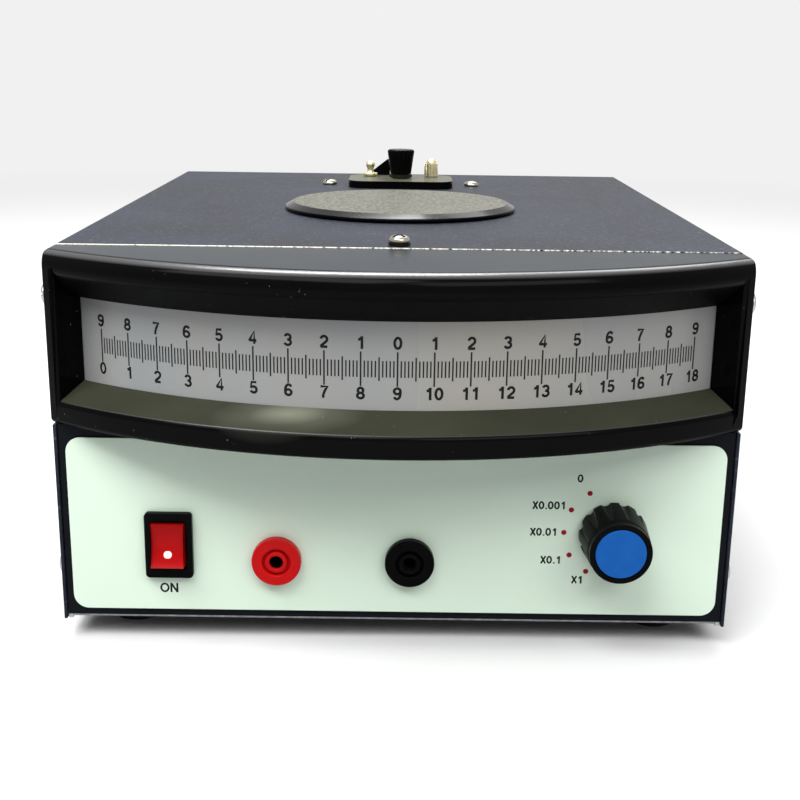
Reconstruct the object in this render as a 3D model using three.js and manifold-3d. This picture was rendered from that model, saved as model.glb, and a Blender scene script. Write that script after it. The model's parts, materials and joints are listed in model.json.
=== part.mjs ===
// Spot reflecting galvanometer: a bench instrument in a sheet metal case with a moulded scale hood.
// Millimetres, +Z up, front towards -Y. The floor is z = 0 and the face of the front panel is y = 0
// while the pieces are made; the finished group is moved so that its origin is under its middle.
import * as THREE from 'three';
import { mergeVertices } from 'three/addons/utils/BufferGeometryUtils.js';
import Module from 'manifold-3d';

const wasm = await Module();
wasm.setup();

// Case
const caseWidth = 200; // over the sides of the cover
const caseDepth = 243; // front panel face to rear panel face
const caseHeight = 112.3; // underside of the chassis to the top of the cover
const coverSheet = 0.9;
const coverBend = 1.2; // outer radius along the top edges of the cover
const coverSetback = 12; // front edge of the cover's top behind the panel face
const chassisSheet = 1.2;
const chassisBend = 2; // outer radius of the folds
const chassisReturn = 11; // depth of the folded flanges that take the screws
const seatGap = 0.3; // between pieces that rest on or in each other
const turnGap = 0.4; // between pieces that turn past each other
const cutOverrun = 3; // how far a cutting shape runs past what it cuts

// Sides of round shapes
const largeSides = 36;
const roundSides = 20;
const rodSides = 16;
const smallSides = 12;
const holeSides = 8;
const nutSides = 6;
const cornerSteps = 4; // facets of a rounded corner
const ventSteps = 2; // facets of a quarter of a vent's end

// Vents
const ventLength = 34;
const rearVentWidth = 5;
const rearVentPitch = 10;
const rearVentCount = 6;
const rearVentHeight = 78; // middle of the rear slots above the chassis underside
const floorVentWidth = 3;
const floorVentPitch = 8;
const floorVentCount = 5;

// Rubber feet, pushed into the chassis
const footHeight = 7;
const footRadius = 8;
const footTopRadius = 9;
const footNeckRadius = 3.6;
const footHeadRadius = 4.6;
const footHeadHeight = 3;
const footInsetX = 18; // from the side of the case
const footInsetY = 22; // from the front and rear panels

// Front label
const labelInset = 3.25; // from the sides of the case
const labelHeight = 53.9;
const labelBottom = 3.6; // above the chassis underside
const labelThickness = 0.5;
const labelCorner = 4.5;

// Scale and its arc; the arc's axis is vertical, in the middle of the case
const scaleRadius = 162; // front face of the scale
const scaleThickness = 2;
const scaleLap = 1.9; // the scale reaches past each side of the window
const scaleHeight = 30;
const scaleMiddle = 85; // middle of its height above the chassis underside
const scaleSteps = 20;

// Hood: the moulded bezel round the scale
const lipDepth = 11.2; // lip ahead of the scale
const lipSetback = 0.94; // ends of the lip at the sides behind the panel face
const hoodBottom = 61.6; // above the chassis underside
const hoodWall = 1.5;
const hoodStep = 0.2; // top of the hood below the top of the cover
const hoodOverhang = 0.5; // wider than the case on each side
const hoodTopRadius = 4.5; // rounded upper edge of the lip
const hoodLowRadius = 1.6; // rounded lower edge of the lip
const hoodCornerRadius = 1.5; // corners seen from the front
const hoodTongue = 9; // tongue of the hood under the cover
const hoodShelf = 8; // flange of the chassis under the hood
const hoodSteps = 18;
const windowFrontInset = 2.6; // sides of the window at the lip, from the sides of the case
const windowRearInset = 8.1; // the same at the scale
const windowFrontLow = 68.3;
const windowFrontHigh = 105.6;
const windowRearLow = 72.8;
const windowRearHigh = 97.2;
const earFront = 2.6; // front edge of the upright ears that carry the hood
const earDepth = 15;
const earMargin = 6; // ears above their screws

// Screws: pan heads
const screwHeadRadius = 3.1;
const screwHeadHeight = 1.9;
const hoodScrewHeadHeight = 1.2;
const screwShankRadius = 1.5;
const screwLength = 7;
const hoodScrewLength = 3.4;
const sideScrewHeight = 15.5; // above the chassis underside
const sideScrewInset = 7; // from the panel faces
const hoodScrewHeight = 99;
const hoodScrewInset = 5;
const washerRadius = 3.3;
const washerThickness = 0.6;
const crownShare = 0.6; // flat crown of a screw head, of its radius
const rimShare = 0.4; // straight rim of a screw head, of its height
const coverScrewInset = 17.6; // behind the panel face

// Lid over the lamp port in the cover
const portSpread = 85.1; // middle of the port ahead of the movement's axis
const portRadius = 30;
const lidRadius = 41.3;
const lidTopRadius = 38.3;
const lidHeight = 2.7;
const lidEdge = 1.1;
const lidSpigot = 4; // depth of the ring that enters the port
const lidWall = 1.6;

// Torsion head on the cover, above the movement
const headInset = 51; // vertical axis of the movement ahead of the rear panel
const headPlateWidth = 43.6;
const headPlateDepth = 31;
const headPlateThickness = 2.7;
const headPlateCorner = 7;
const headHoleRadius = 5;
const headScrewSpread = 30.2; // chrome screws either side of the axis
const postSpread = 13.1;
const postSetback = 8; // posts behind the axis
const postNutRadius = 3;
const postNutHeight = 5.4;
const postFlutes = 12;
const postFluteDepth = 0.2;
const nutDomeShare = 0.72; // dome on the nut, of its radius
const postStudRadius = 1.7;
const postStudHeight = 6.6;
const postCollarRadius = 3.1;
const postCollarHeight = 1.1;
const webHeight = 6.8; // upright web between the left post and the knob
const webLength = 8.4;
const webThickness = 1.2;
const knobTopRadius = 5.7;
const knobLowRadius = 4.4;
const knobHeight = 10;
const knobCollarRadius = 4.8;
const knobCollarHeight = 1.6;
const knobFlutes = 18;
const knobFluteDepth = 0.25;
const knobChamfer = 0.6;
const knobBoreShare = 0.7; // depth of the bore, of the knob's height

// Mains rocker switch
const switchInset = 32.8; // middle of the switch from the side of the case
const switchHeight = 24.9;
const switchFlangeWidth = 14.1;
const switchFlangeHeight = 20.4;
const switchFlangeThickness = 2;
const switchBodyWidth = 12.8;
const switchBodyHeight = 18.8;
const switchBodyDepth = 15;
const switchCorner = 1.2;
const rockerWidth = 9.7;
const rockerHeight = 13.1;
const rockerPivotDepth = 4; // pivot behind the front of the flange
const rockerMiddleReach = 5.2; // middle of the rocker ahead of the pivot
const rockerEndReach = 6.7; // ends of the rocker ahead of the pivot
const rockerTail = 3.5; // rocker behind the pivot
const rockerTilt = 7; // degrees to each side
const rockerEndGap = 0.75;
const switchPocketDepth = 10.5;
const tabWidth = 4.8;
const tabThickness = 0.8;
const tabLength = 7;
const tabSpreadShare = 0.36; // outer tabs from the middle, of the body's height
const rockerTailShare = 0.55; // width of the rocker's tail, of its height

// 4 mm sockets
const socketHeight = 20.4;
const redSocketX = -35.3;
const blackSocketX = 4.3;
const socketFlangeRadius = 7.35;
const socketFlangeThickness = 3;
const socketEdgeRadius = 1;
const socketGrooveOuter = 4.15;
const socketGrooveInner = 3.3;
const socketGrooveDepth = 1.6;
const socketHoleRadius = 2;
const socketBarrelRadius = 4.8;
const socketBarrelLength = 14;
const socketTubeRadius = 2.5;
const socketTubeLength = 19;
const socketMouth = 1.2; // insulating lip ahead of the metal tube
const socketTailRadius = 1.4;
const socketTailLength = 5;
const socketNutRadius = 7.8; // over the corners
const socketNutThickness = 3;

// Range selector
const selectorInset = 35.7; // axis of the selector from the side of the case
const selectorHeight = 30;
const shaftRadius = 3;
const shaftRear = 31; // end of the shaft behind the panel face
const bushRadius = 4.7;
const bushReach = 5; // bush ahead of the panel face
const selectorNutRadius = 7.4;
const selectorNutThickness = 2.2;
const selectorBodyRadius = 17;
const selectorBodyDepth = 8;
const waferRadius = 19;
const waferThickness = 1.6;
const waferSetback = 9; // behind the selector body
const waferPostRadius = 1.8;
const waferPostShare = 0.92; // posts from the axis, of the room inside the wafer's edge
const waferLugCount = 9;
const waferLugLength = 4;
const waferLugWidth = 2.2;
const selectorKnobReach = 16.6; // front of the knob ahead of the panel face
const selectorKnobBase = 1.3; // rear of the knob ahead of the panel face
const selectorKnobRadius = 10.1;
const selectorRimRadius = 9;
const selectorRimLength = 2.4;
const selectorFlutes = 12;
const selectorFluteDepth = 0.75;
const fluteStartShare = 0.12; // full depth from here, of the knob's length
const fluteRunShare = 0.78; // the flutes fade from here, of their length
const fluteFadeShare = 0.75; // depth left there
const rimChamfer = 0.5;
const selectorCavityRadius = 8.1;
const selectorCavityDepth = 6;
const selectorCapRadius = 7.3;
const selectorCapThickness = 0.9;
const selectorCapProud = 0.2;

// Board with the shunt resistors
const boardWidth = 46;
const boardDepth = 56;
const boardThickness = 1.6;
const boardInset = 34; // middle of the board from the side of the case
const boardY = 74;
const boardHeight = 8; // above the chassis floor
const boardPostRadius = 2.4;
const bobbinRadius = 5;
const bobbinLength = 15;
const bobbinPitch = 12.5;
const bobbinCount = 4;
const bobbinFlange = 1.4;
const bobbinSinkShare = 0.8; // axis of a bobbin above the board, of its radius

// Mains inlet and fuse on the rear panel
const inletInset = 38; // middle of the inlet from the side of the case
const inletHeight = 24;
const inletFlangeWidth = 31;
const inletFlangeHeight = 24;
const inletFlangeThickness = 2.4;
const inletBodyWidth = 27;
const inletBodyHeight = 19.6;
const inletBodyDepth = 19;
const inletCavityWidth = 24;
const inletCavityHeight = 16.2;
const inletCavityDepth = 15.6;
const inletCavityChamfer = 4.6;
const inletPinWidth = 2;
const inletPinHeight = 4;
const inletPinLength = 13;
const inletPinSpread = 7;
const inletPinDrop = 2;
const inletEarthRise = 2;
const fuseMargin = 0.5; // flange of the fuse holder beside the movement frame
const fuseHeight = 24;
const fuseFlangeRadius = 8.5;
const fuseFlangeThickness = 2.2;
const fuseBodyRadius = 6.2;
const fuseBodyLength = 26;
const fuseBoreRadius = 4.1;
const fuseBoreDepth = 22;
const fuseCapRadius = 6.8;
const fuseCapLength = 9;
const fuseCapFlutes = 16;
const fuseCapFluteDepth = 0.4;
const fuseCarrierRadius = 3.6;
const fuseCarrierLength = 18;
const fuseSlotWidth = 1.4;
const fuseSlotDepth = 1.5;

// Lamp transformer
const coreWidth = 48;
const coreHeight = 40;
const coreDepth = 18;
const coreLimb = 8;
const coreInset = 36; // middle of the core from the side of the case
const coreFootHeight = 1.4;
const coreFootReach = 7;
const windingDepth = 36;

// Light path
const mirrorHeight = 47; // middle of the mirror above the chassis underside
const tickHeight = 84.2; // middle of the scale marks above the chassis underside
const mirrorRadius = 5;
const mirrorThickness = 1;
const lampTubeRadius = 13;
const lampTubeWall = 1;
const lampTubeLength = 58;
const lensRadius = 11;
const lensThickness = 5;
const lensInset = 3; // lens behind the mouth of the tube
const lensEdgeShare = 0.3; // edge of the lens, of its thickness
const lensShares = [0.75, 0.5, 0.25]; // steps of its crown, of its radius
const hairPlateInset = 14;
const hairPlateThickness = 1;
const hairSlotWidth = 0.8;
const hairSlotHeight = 9;
const hairGap = 3; // width of each half of the lit field
const holderRadius = 8;
const holderLength = 16;
const bulbRadius = 5.5;
const bulbCapRadius = 4.5;
const bulbCapLength = 9;
const cradleSheet = 1.2;
const cradleDepth = 30;
const cradleFlange = 10;
const trunnionRadius = 2.5;

// Moving coil movement
const frameWidth = 74; // top plate of the movement frame
const frameSheet = 2.5;
const frameFront = 12; // top plate ahead of the axis
const frameRear = 27; // back plate behind the axis
const frameBackWidth = 56;
const frameFoot = 26; // bottom plate, ahead of the back plate
const magnetHeight = 22;
const magnetBottom = 11; // above the chassis underside
const magnetArm = 9; // thickness of the limbs
const magnetHalfWidth = 27;
const magnetFront = 8; // limbs reach this far ahead of the axis
const shoeFaceRadius = 13;
const shoeHeight = 18;
const shoeReachShare = 0.95; // half width of a pole shoe, of the limbs' reach
const shoeBackShare = 0.6; // tips of the shoe, of its face radius
const coreRadius = 8.2;
const coreLength = 17;
const coreStemRadius = 2.2;
const coilInner = 18.8; // width inside the coil
const coilWire = 2;
const coilHeight = 27;
const coilThickness = 3;
const coilMiddle = 23.5; // middle of the coil above the chassis underside
const coilStemRadius = 1;
const stripWidth = 0.8;
const stripThickness = 0.4;
const anchorRadius = 2;
const anchorHeight = 1;
const spindleRadius = 3;
const spindleFlangeRadius = 6.5;
const spindleFlangeThickness = 1.6;
const spindleTail = 8; // spindle below the top plate of the frame
const spindleTailRadius = 2;

// Worked out places
const coverTop = footHeight + caseHeight;
const coverHalf = caseWidth / 2;
const chassisHalf = coverHalf - coverSheet - seatGap;
const headY = caseDepth - headInset;
const portY = headY - portSpread;
const labelWidth = caseWidth - 2 * labelInset;
const windowFrontHalf = coverHalf - windowFrontInset;
const windowRearHalf = coverHalf - windowRearInset;
const earTop = hoodScrewHeight + earMargin;
const switchX = switchInset - coverHalf;
const selectorX = coverHalf - selectorInset;
const boardX = coverHalf - boardInset;
const inletX = inletInset - coverHalf;
const fuseX = frameWidth / 2 + fuseMargin + fuseFlangeRadius;
const coreX = coreInset - coverHalf;
const coreY = portY;
const chassisFace = labelThickness + seatGap;
const chassisRear = caseDepth;
const hoodHalf = coverHalf + hoodOverhang;
const hoodTop = coverTop - hoodStep;
const lipRadius = scaleRadius + lipDepth;
const arcY = lipSetback + Math.sqrt(lipRadius * lipRadius - hoodHalf * hoodHalf);
const scaleReach = scaleRadius - arcY;
const hoodReach = lipRadius - arcY;
const floorZ = footHeight + chassisSheet;
const frameTopZ = coverTop - coverSheet - seatGap;
const chassisTopZ = coverTop - coverBend - seatGap;
const lampTilt = Math.atan2(tickHeight - mirrorHeight, headY + scaleReach);
const lampAxisZ = footHeight + mirrorHeight - (headY - portY) * Math.tan(lampTilt);

const up = (height) => footHeight + height;
const labelLow = up(labelBottom);
const plateLow = coverTop + seatGap;
const plateHigh = plateLow + headPlateThickness;
const washerTop = coverTop + seatGap + washerThickness;
const spindleEnd = frameTopZ - frameSheet - turnGap - spindleFlangeThickness - spindleTail;
const rockerY = rockerPivotDepth - switchFlangeThickness - seatGap;
const knobBoreFloor = selectorKnobReach - selectorCapThickness - selectorRimLength;
const magnetRearY = headY + frameRear - seatGap;
const yokeY = magnetRearY - magnetArm; // inside of the magnet's bend
const stemTopZ = up(mirrorHeight) + mirrorRadius + coilStemRadius;
const stripLowTop = up(coilMiddle) - coilHeight / 2 - seatGap;
const stripLowEnd = floorZ + seatGap + frameSheet + anchorHeight + seatGap;
const tubeFront = -lampTubeLength / 2;
const tubeRear = lampTubeLength / 2;
const tubeBore = lampTubeRadius - lampTubeWall;
const fuseCapRear = chassisRear + seatGap + fuseFlangeThickness + turnGap + fuseCapLength;

// Finishes
const finish = (color, roughness, metalness) =>
  new THREE.MeshStandardMaterial({ color, roughness, metalness });
const coverPaint = () => finish(0x20262c, 0.55, 0.1);
const chassisPaint = () => finish(0x0d0e10, 0.5, 0.1);
const hoodPlastic = () => finish(0x08090a, 0.22, 0);
const blackPlastic = () => finish(0x0c0c0d, 0.4, 0);
const rubber = () => finish(0x141414, 0.85, 0);
const labelPaint = () => finish(0xd7f0dc, 0.45, 0);
const scalePlastic = () => finish(0xd8dde2, 0.35, 0);
const redPlastic = () => finish(0xc8100f, 0.35, 0);
const bluePlastic = () => finish(0x2878d2, 0.5, 0);
const chrome = () => finish(0xd8d4c8, 0.22, 1);
const brass = () => finish(0xb79a55, 0.35, 1);
const zincPlate = () => finish(0xa9adb0, 0.45, 1);
const softIron = () => finish(0x6a6c70, 0.5, 1);
const phenolic = () => finish(0x7a4a22, 0.6, 0);
const copperWire = () => finish(0x8a3c1c, 0.45, 0.4);
const glass = () => finish(0xe8f0f4, 0.05, 0);

// A closed solid from a three.js geometry: shared corners merged, empty triangles left out
function solidOf(geometry) {
  const bare = geometry.index ? geometry.toNonIndexed() : geometry;
  for (const name of Object.keys(bare.attributes)) {
    if (name !== 'position') bare.deleteAttribute(name);
  }
  const merged = mergeVertices(bare);
  const place = merged.attributes.position;
  const corners = merged.index.array;
  const kept = [];
  let volume = 0;
  const a = new THREE.Vector3();
  const b = new THREE.Vector3();
  const c = new THREE.Vector3();
  for (let i = 0; i < corners.length; i += 3) {
    const [p, q, r] = [corners[i], corners[i + 1], corners[i + 2]];
    if (p === q || q === r || r === p) continue;
    kept.push(p, q, r);
    a.fromBufferAttribute(place, p);
    b.fromBufferAttribute(place, q);
    c.fromBufferAttribute(place, r);
    volume += a.dot(b.cross(c));
  }
  if (volume < 0) kept.reverse();
  const mesh = new wasm.Mesh({
    numProp: 3,
    vertProperties: new Float32Array(place.array),
    triVerts: new Uint32Array(kept),
  });
  return new wasm.Manifold(mesh);
}

const join = (first, ...others) => others.reduce((sum, next) => sum.add(next), first);
const cut = (first, ...others) => others.reduce((sum, next) => sum.subtract(next), first);
const keep = (first, second) => first.intersect(second);

function geometryOf(solid) {
  const { vertProperties, triVerts } = solid.getMesh();
  const geometry = new THREE.BufferGeometry();
  geometry.setAttribute('position', new THREE.BufferAttribute(new Float32Array(vertProperties), 3));
  geometry.setIndex(new THREE.BufferAttribute(new Uint32Array(triVerts), 1));
  geometry.computeVertexNormals();
  return geometry;
}

function block(x0, x1, y0, y1, z0, z1) {
  const box = new THREE.BoxGeometry(x1 - x0, y1 - y0, z1 - z0);
  return solidOf(box.translate((x0 + x1) / 2, (y0 + y1) / 2, (z0 + z1) / 2));
}

// Round bars from one end to the other, along each axis
function rodX(radius, x0, x1, y, z, sides = smallSides) {
  const rod = new THREE.CylinderGeometry(radius, radius, x1 - x0, sides).rotateZ(-Math.PI / 2);
  return solidOf(rod.translate((x0 + x1) / 2, y, z));
}

function rodY(radius, y0, y1, x, z, sides = rodSides) {
  const rod = new THREE.CylinderGeometry(radius, radius, y1 - y0, sides);
  return solidOf(rod.translate(x, (y0 + y1) / 2, z));
}

function rodZ(radius, z0, z1, x, y, sides = smallSides) {
  const rod = new THREE.CylinderGeometry(radius, radius, z1 - z0, sides).rotateX(Math.PI / 2);
  return solidOf(rod.translate(x, y, (z0 + z1) / 2));
}

// A profile of [radius, height] points turned about an axis; heights run along the named direction
const turnTo = {
  up: (shape) => shape.rotateX(Math.PI / 2),
  front: (shape) => shape.rotateX(Math.PI),
  rear: (shape) => shape,
  right: (shape) => shape.rotateZ(-Math.PI / 2),
  left: (shape) => shape.rotateZ(Math.PI / 2),
};

function turned(profile, direction, x, y, z, sides = rodSides) {
  const points = profile.map(([radius, height]) => new THREE.Vector2(radius, height));
  return solidOf(turnTo[direction](new THREE.LatheGeometry(points, sides)).translate(x, y, z));
}

// Outlines drawn in plan, from the front and from the side, made solid across the third direction
function planSolid(shape, z0, z1, curveSegments = cornerSteps) {
  const body = new THREE.ExtrudeGeometry(shape, { depth: z1 - z0, bevelEnabled: false, curveSegments });
  return solidOf(body.translate(0, 0, z0));
}

function frontSolid(shape, y0, y1, curveSegments = cornerSteps) {
  const body = new THREE.ExtrudeGeometry(shape, { depth: y1 - y0, bevelEnabled: false, curveSegments });
  return solidOf(body.rotateX(Math.PI / 2).translate(0, y1, 0));
}

function sideSolid(shape, x0, x1, curveSegments = cornerSteps) {
  const body = new THREE.ExtrudeGeometry(shape, { depth: x1 - x0, bevelEnabled: false, curveSegments });
  const turn = new THREE.Matrix4().makeBasis(
    new THREE.Vector3(0, 1, 0), new THREE.Vector3(0, 0, 1), new THREE.Vector3(1, 0, 0));
  return solidOf(body.applyMatrix4(turn).translate(x0, 0, 0));
}

function roundedRect(u0, u1, v0, v1, radius) {
  const shape = new THREE.Shape();
  shape.moveTo(u0 + radius, v0);
  shape.lineTo(u1 - radius, v0);
  shape.absarc(u1 - radius, v0 + radius, radius, -Math.PI / 2, 0, false);
  shape.lineTo(u1, v1 - radius);
  shape.absarc(u1 - radius, v1 - radius, radius, 0, Math.PI / 2, false);
  shape.lineTo(u0 + radius, v1);
  shape.absarc(u0 + radius, v1 - radius, radius, Math.PI / 2, Math.PI, false);
  shape.lineTo(u0, v0 + radius);
  shape.absarc(u0 + radius, v0 + radius, radius, Math.PI, Math.PI * 1.5, false);
  return shape;
}

// A skin through rings that have the same number of points, capped at both ends
function loft(rings, capPoints) {
  const count = rings[0].length;
  const places = rings.flat();
  const corners = [];
  for (let i = 0; i + 1 < rings.length; i++) {
    for (let j = 0; j < count; j++) {
      const k = (j + 1) % count;
      const [a, b, c, d] = [i * count + j, i * count + k, (i + 1) * count + k, (i + 1) * count + j];
      corners.push(a, b, c, a, c, d);
    }
  }
  const last = (rings.length - 1) * count;
  const flat = capPoints.map(([u, v]) => new THREE.Vector2(u, v));
  const turnsLeft = THREE.ShapeUtils.area(flat) > 0;
  for (const [a, b, c] of THREE.ShapeUtils.triangulateShape(flat, [])) {
    const order = turnsLeft ? [a, b, c] : [a, c, b];
    const near = turnsLeft ? [order[0], order[2], order[1]] : order.slice().reverse();
    corners.push(...near, ...near.slice().reverse().map((n) => last + n));
  }
  const geometry = new THREE.BufferGeometry();
  geometry.setAttribute('position', new THREE.Float32BufferAttribute(places.flat(), 3));
  geometry.setIndex(corners);
  return solidOf(geometry);
}

// A closed [radius, height] profile carried along the arc of the scale
function arcSweep(profile, halfAngle, steps) {
  const rings = [];
  for (let i = 0; i <= steps; i++) {
    const angle = halfAngle * (2 * i / steps - 1);
    rings.push(profile.map(([radius, z]) => [radius * Math.sin(angle), arcY - radius * Math.cos(angle), z]));
  }
  return loft(rings, profile);
}

// A ring of [x, y] points with hollow flutes between sharp ridges
function flutedRing(radius, depth, flutes, stepsEach) {
  const count = flutes * stepsEach;
  return Array.from({ length: count }, (_, i) => {
    const hollow = depth * Math.sin(Math.PI * (i % stepsEach) / stepsEach);
    const angle = 2 * Math.PI * i / count;
    return [(radius - hollow) * Math.cos(angle), (radius - hollow) * Math.sin(angle)];
  });
}

// A fluted knob standing on z = 0 from [radius, fluteDepth, height] stations
function flutedBody(stations, flutes, stepsEach) {
  const rings = stations.map(([radius, depth, height]) =>
    flutedRing(radius, depth, flutes, stepsEach).map(([x, y]) => [x, y, height]));
  return loft(rings, rings[0]);
}

function moved(solid, change) {
  return solidOf(change(geometryOf(solid)));
}

const mirrored = (make) => [-1, 1].map((side) => make(side));
const ordered = (a, b) => [Math.min(a, b), Math.max(a, b)];

const galvanometer = new THREE.Group();

function piece(name, solid, material, parent = galvanometer) {
  const mesh = new THREE.Mesh(geometryOf(solid), material);
  mesh.name = name;
  parent.add(mesh);
  return mesh;
}

// Six sided nut blank along y
function hexY(radius, y0, y1, x, z) {
  return rodY(radius, y0, y1, x, z, nutSides);
}

// Pan head screw; its head stands out along the named direction from its seat
function panScrew(direction, x, y, z, length = screwLength, rise = screwHeadHeight) {
  const profile = [
    [0, -length], [screwShankRadius, -length], [screwShankRadius, 0], [screwHeadRadius, 0],
    [screwHeadRadius, rise * rimShare], [screwHeadRadius * crownShare, rise], [0, rise],
  ];
  return turned(profile, direction, x, y, z, smallSides);
}

// Chassis: floor, front panel and rear panel folded from one sheet, with flanges for the screws
function makeChassis() {
  const inner = chassisBend - chassisSheet;
  const low = footHeight;
  const frontTop = up(hoodBottom) - seatGap;
  const fold = new THREE.Shape();
  fold.moveTo(chassisFace, frontTop);
  fold.lineTo(chassisFace, low + chassisBend);
  fold.absarc(chassisFace + chassisBend, low + chassisBend, chassisBend, Math.PI, Math.PI * 1.5, false);
  fold.lineTo(chassisRear - chassisBend, low);
  fold.absarc(chassisRear - chassisBend, low + chassisBend, chassisBend, -Math.PI / 2, 0, false);
  fold.lineTo(chassisRear, chassisTopZ);
  fold.lineTo(chassisRear - chassisSheet, chassisTopZ);
  fold.lineTo(chassisRear - chassisSheet, low + chassisBend);
  fold.absarc(chassisRear - chassisBend, low + chassisBend, inner, 0, -Math.PI / 2, true);
  fold.lineTo(chassisFace + chassisBend, floorZ);
  fold.absarc(chassisFace + chassisBend, low + chassisBend, inner, Math.PI * 1.5, Math.PI, true);
  fold.lineTo(chassisFace + chassisSheet, frontTop);
  const sheet = sideSolid(fold, -chassisHalf, chassisHalf);
  const frontBack = chassisFace + chassisSheet;
  const shelf = block(-chassisHalf, chassisHalf, chassisFace, frontBack + hoodShelf,
    frontTop - chassisSheet, frontTop);
  const flanges = [-1, 1].flatMap((side) => {
    const [x0, x1] = ordered(side * chassisHalf, side * (chassisHalf - chassisSheet));
    return [
      block(x0, x1, chassisFace, frontBack + chassisReturn, floorZ - chassisSheet, frontTop),
      block(x0, x1, earFront, earFront + earDepth, frontTop - chassisReturn, up(earTop)),
      block(x0, x1, chassisRear - chassisSheet - chassisReturn, chassisRear - chassisBend, low, chassisTopZ),
    ];
  });
  return join(sheet, shelf, ...flanges);
}

function slotRow(count, pitch, makeSlot) {
  return Array.from({ length: count }, (_, i) => makeSlot((i - (count - 1) / 2) * pitch));
}

function ventOutline(x, middle, width) {
  return roundedRect(x - width / 2, x + width / 2,
    middle - ventLength / 2, middle + ventLength / 2, width / 2);
}

function chassisOpenings() {
  const through = [chassisFace - cutOverrun, chassisFace + chassisSheet + cutOverrun];
  const rear = [chassisRear - chassisSheet - cutOverrun, chassisRear + cutOverrun];
  const low = footHeight - cutOverrun;
  const high = floorZ + cutOverrun;
  const screwRoom = screwShankRadius + seatGap;
  const openings = [
    block(switchX - switchBodyWidth / 2 - seatGap, switchX + switchBodyWidth / 2 + seatGap, ...through,
      up(switchHeight) - switchBodyHeight / 2 - seatGap, up(switchHeight) + switchBodyHeight / 2 + seatGap),
    rodY(socketBarrelRadius + seatGap, ...through, redSocketX, up(socketHeight)),
    rodY(socketBarrelRadius + seatGap, ...through, blackSocketX, up(socketHeight)),
    rodY(bushRadius + seatGap, ...through, selectorX, up(selectorHeight)),
    block(inletX - inletBodyWidth / 2 - seatGap, inletX + inletBodyWidth / 2 + seatGap, ...rear,
      up(inletHeight) - inletBodyHeight / 2 - seatGap, up(inletHeight) + inletBodyHeight / 2 + seatGap),
    rodY(fuseBodyRadius + seatGap, ...rear, fuseX, up(fuseHeight)),
    ...slotRow(rearVentCount, rearVentPitch, (x) =>
      frontSolid(ventOutline(x, up(rearVentHeight), rearVentWidth), ...rear, ventSteps)),
    ...slotRow(floorVentCount, floorVentPitch, (x) =>
      planSolid(ventOutline(x, portY, floorVentWidth), low, high, ventSteps)),
  ];
  for (const [x, y] of footPlaces()) {
    openings.push(rodZ(footNeckRadius + seatGap, low, high, x, y));
  }
  for (const y of [sideScrewInset, caseDepth - sideScrewInset]) {
    openings.push(rodX(screwRoom, -coverHalf, coverHalf, y, up(sideScrewHeight), holeSides));
  }
  openings.push(rodX(screwRoom, -coverHalf, coverHalf, hoodScrewInset, up(hoodScrewHeight), holeSides));
  return openings;
}

function footPlaces() {
  const x = coverHalf - footInsetX;
  return [[-x, footInsetY], [x, footInsetY], [-x, caseDepth - footInsetY], [x, caseDepth - footInsetY]];
}

function makeFoot(x, y) {
  const seat = footHeight - seatGap;
  const profile = [
    [0, 0], [footRadius, 0], [footTopRadius, seat], [footNeckRadius, seat],
    [footNeckRadius, floorZ + seatGap], [footHeadRadius, floorZ + seatGap],
    [footNeckRadius, floorZ + seatGap + footHeadHeight], [0, floorZ + seatGap + footHeadHeight],
  ];
  return turned(profile, 'up', x, y, 0);
}

// Cover: top and both sides folded from one sheet, cut back at the front for the hood
function makeCover() {
  const inner = coverBend - coverSheet;
  const low = footHeight;
  const fold = new THREE.Shape();
  fold.moveTo(-coverHalf, low);
  fold.lineTo(-coverHalf + coverSheet, low);
  fold.lineTo(-coverHalf + coverSheet, coverTop - coverBend);
  fold.absarc(-coverHalf + coverBend, coverTop - coverBend, inner, Math.PI, Math.PI / 2, true);
  fold.lineTo(coverHalf - coverBend, coverTop - coverSheet);
  fold.absarc(coverHalf - coverBend, coverTop - coverBend, inner, Math.PI / 2, 0, true);
  fold.lineTo(coverHalf - coverSheet, low);
  fold.lineTo(coverHalf, low);
  fold.lineTo(coverHalf, coverTop - coverBend);
  fold.absarc(coverHalf - coverBend, coverTop - coverBend, coverBend, 0, Math.PI / 2, false);
  fold.lineTo(-coverHalf + coverBend, coverTop);
  fold.absarc(-coverHalf + coverBend, coverTop - coverBend, coverBend, Math.PI / 2, Math.PI, false);
  const sheet = frontSolid(fold, 0, caseDepth);
  const far = coverHalf + cutOverrun;
  const screwRoom = screwShankRadius + seatGap;
  const holes = [
    block(-far, far, -cutOverrun, coverSetback, up(hoodBottom) - seatGap, coverTop + cutOverrun),
    rodZ(portRadius, hoodTop - cutOverrun, coverTop + cutOverrun, 0, portY, largeSides),
    rodZ(headHoleRadius, hoodTop - cutOverrun, coverTop + cutOverrun, 0, headY),
    rodZ(screwRoom, hoodTop - cutOverrun, coverTop + cutOverrun, 0, coverScrewInset, holeSides),
    ...mirrored((side) => rodZ(screwRoom, hoodTop - cutOverrun, coverTop + cutOverrun,
      side * headScrewSpread, headY, holeSides)),
    ...mirrored((side) => rodZ(postStudRadius + seatGap, hoodTop - cutOverrun, coverTop + cutOverrun,
      side * postSpread, headY + postSetback, holeSides)),
    ...[sideScrewInset, caseDepth - sideScrewInset].map((y) =>
      rodX(screwRoom, -far, far, y, up(sideScrewHeight), holeSides)),
  ];
  return cut(sheet, ...holes);
}

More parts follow.
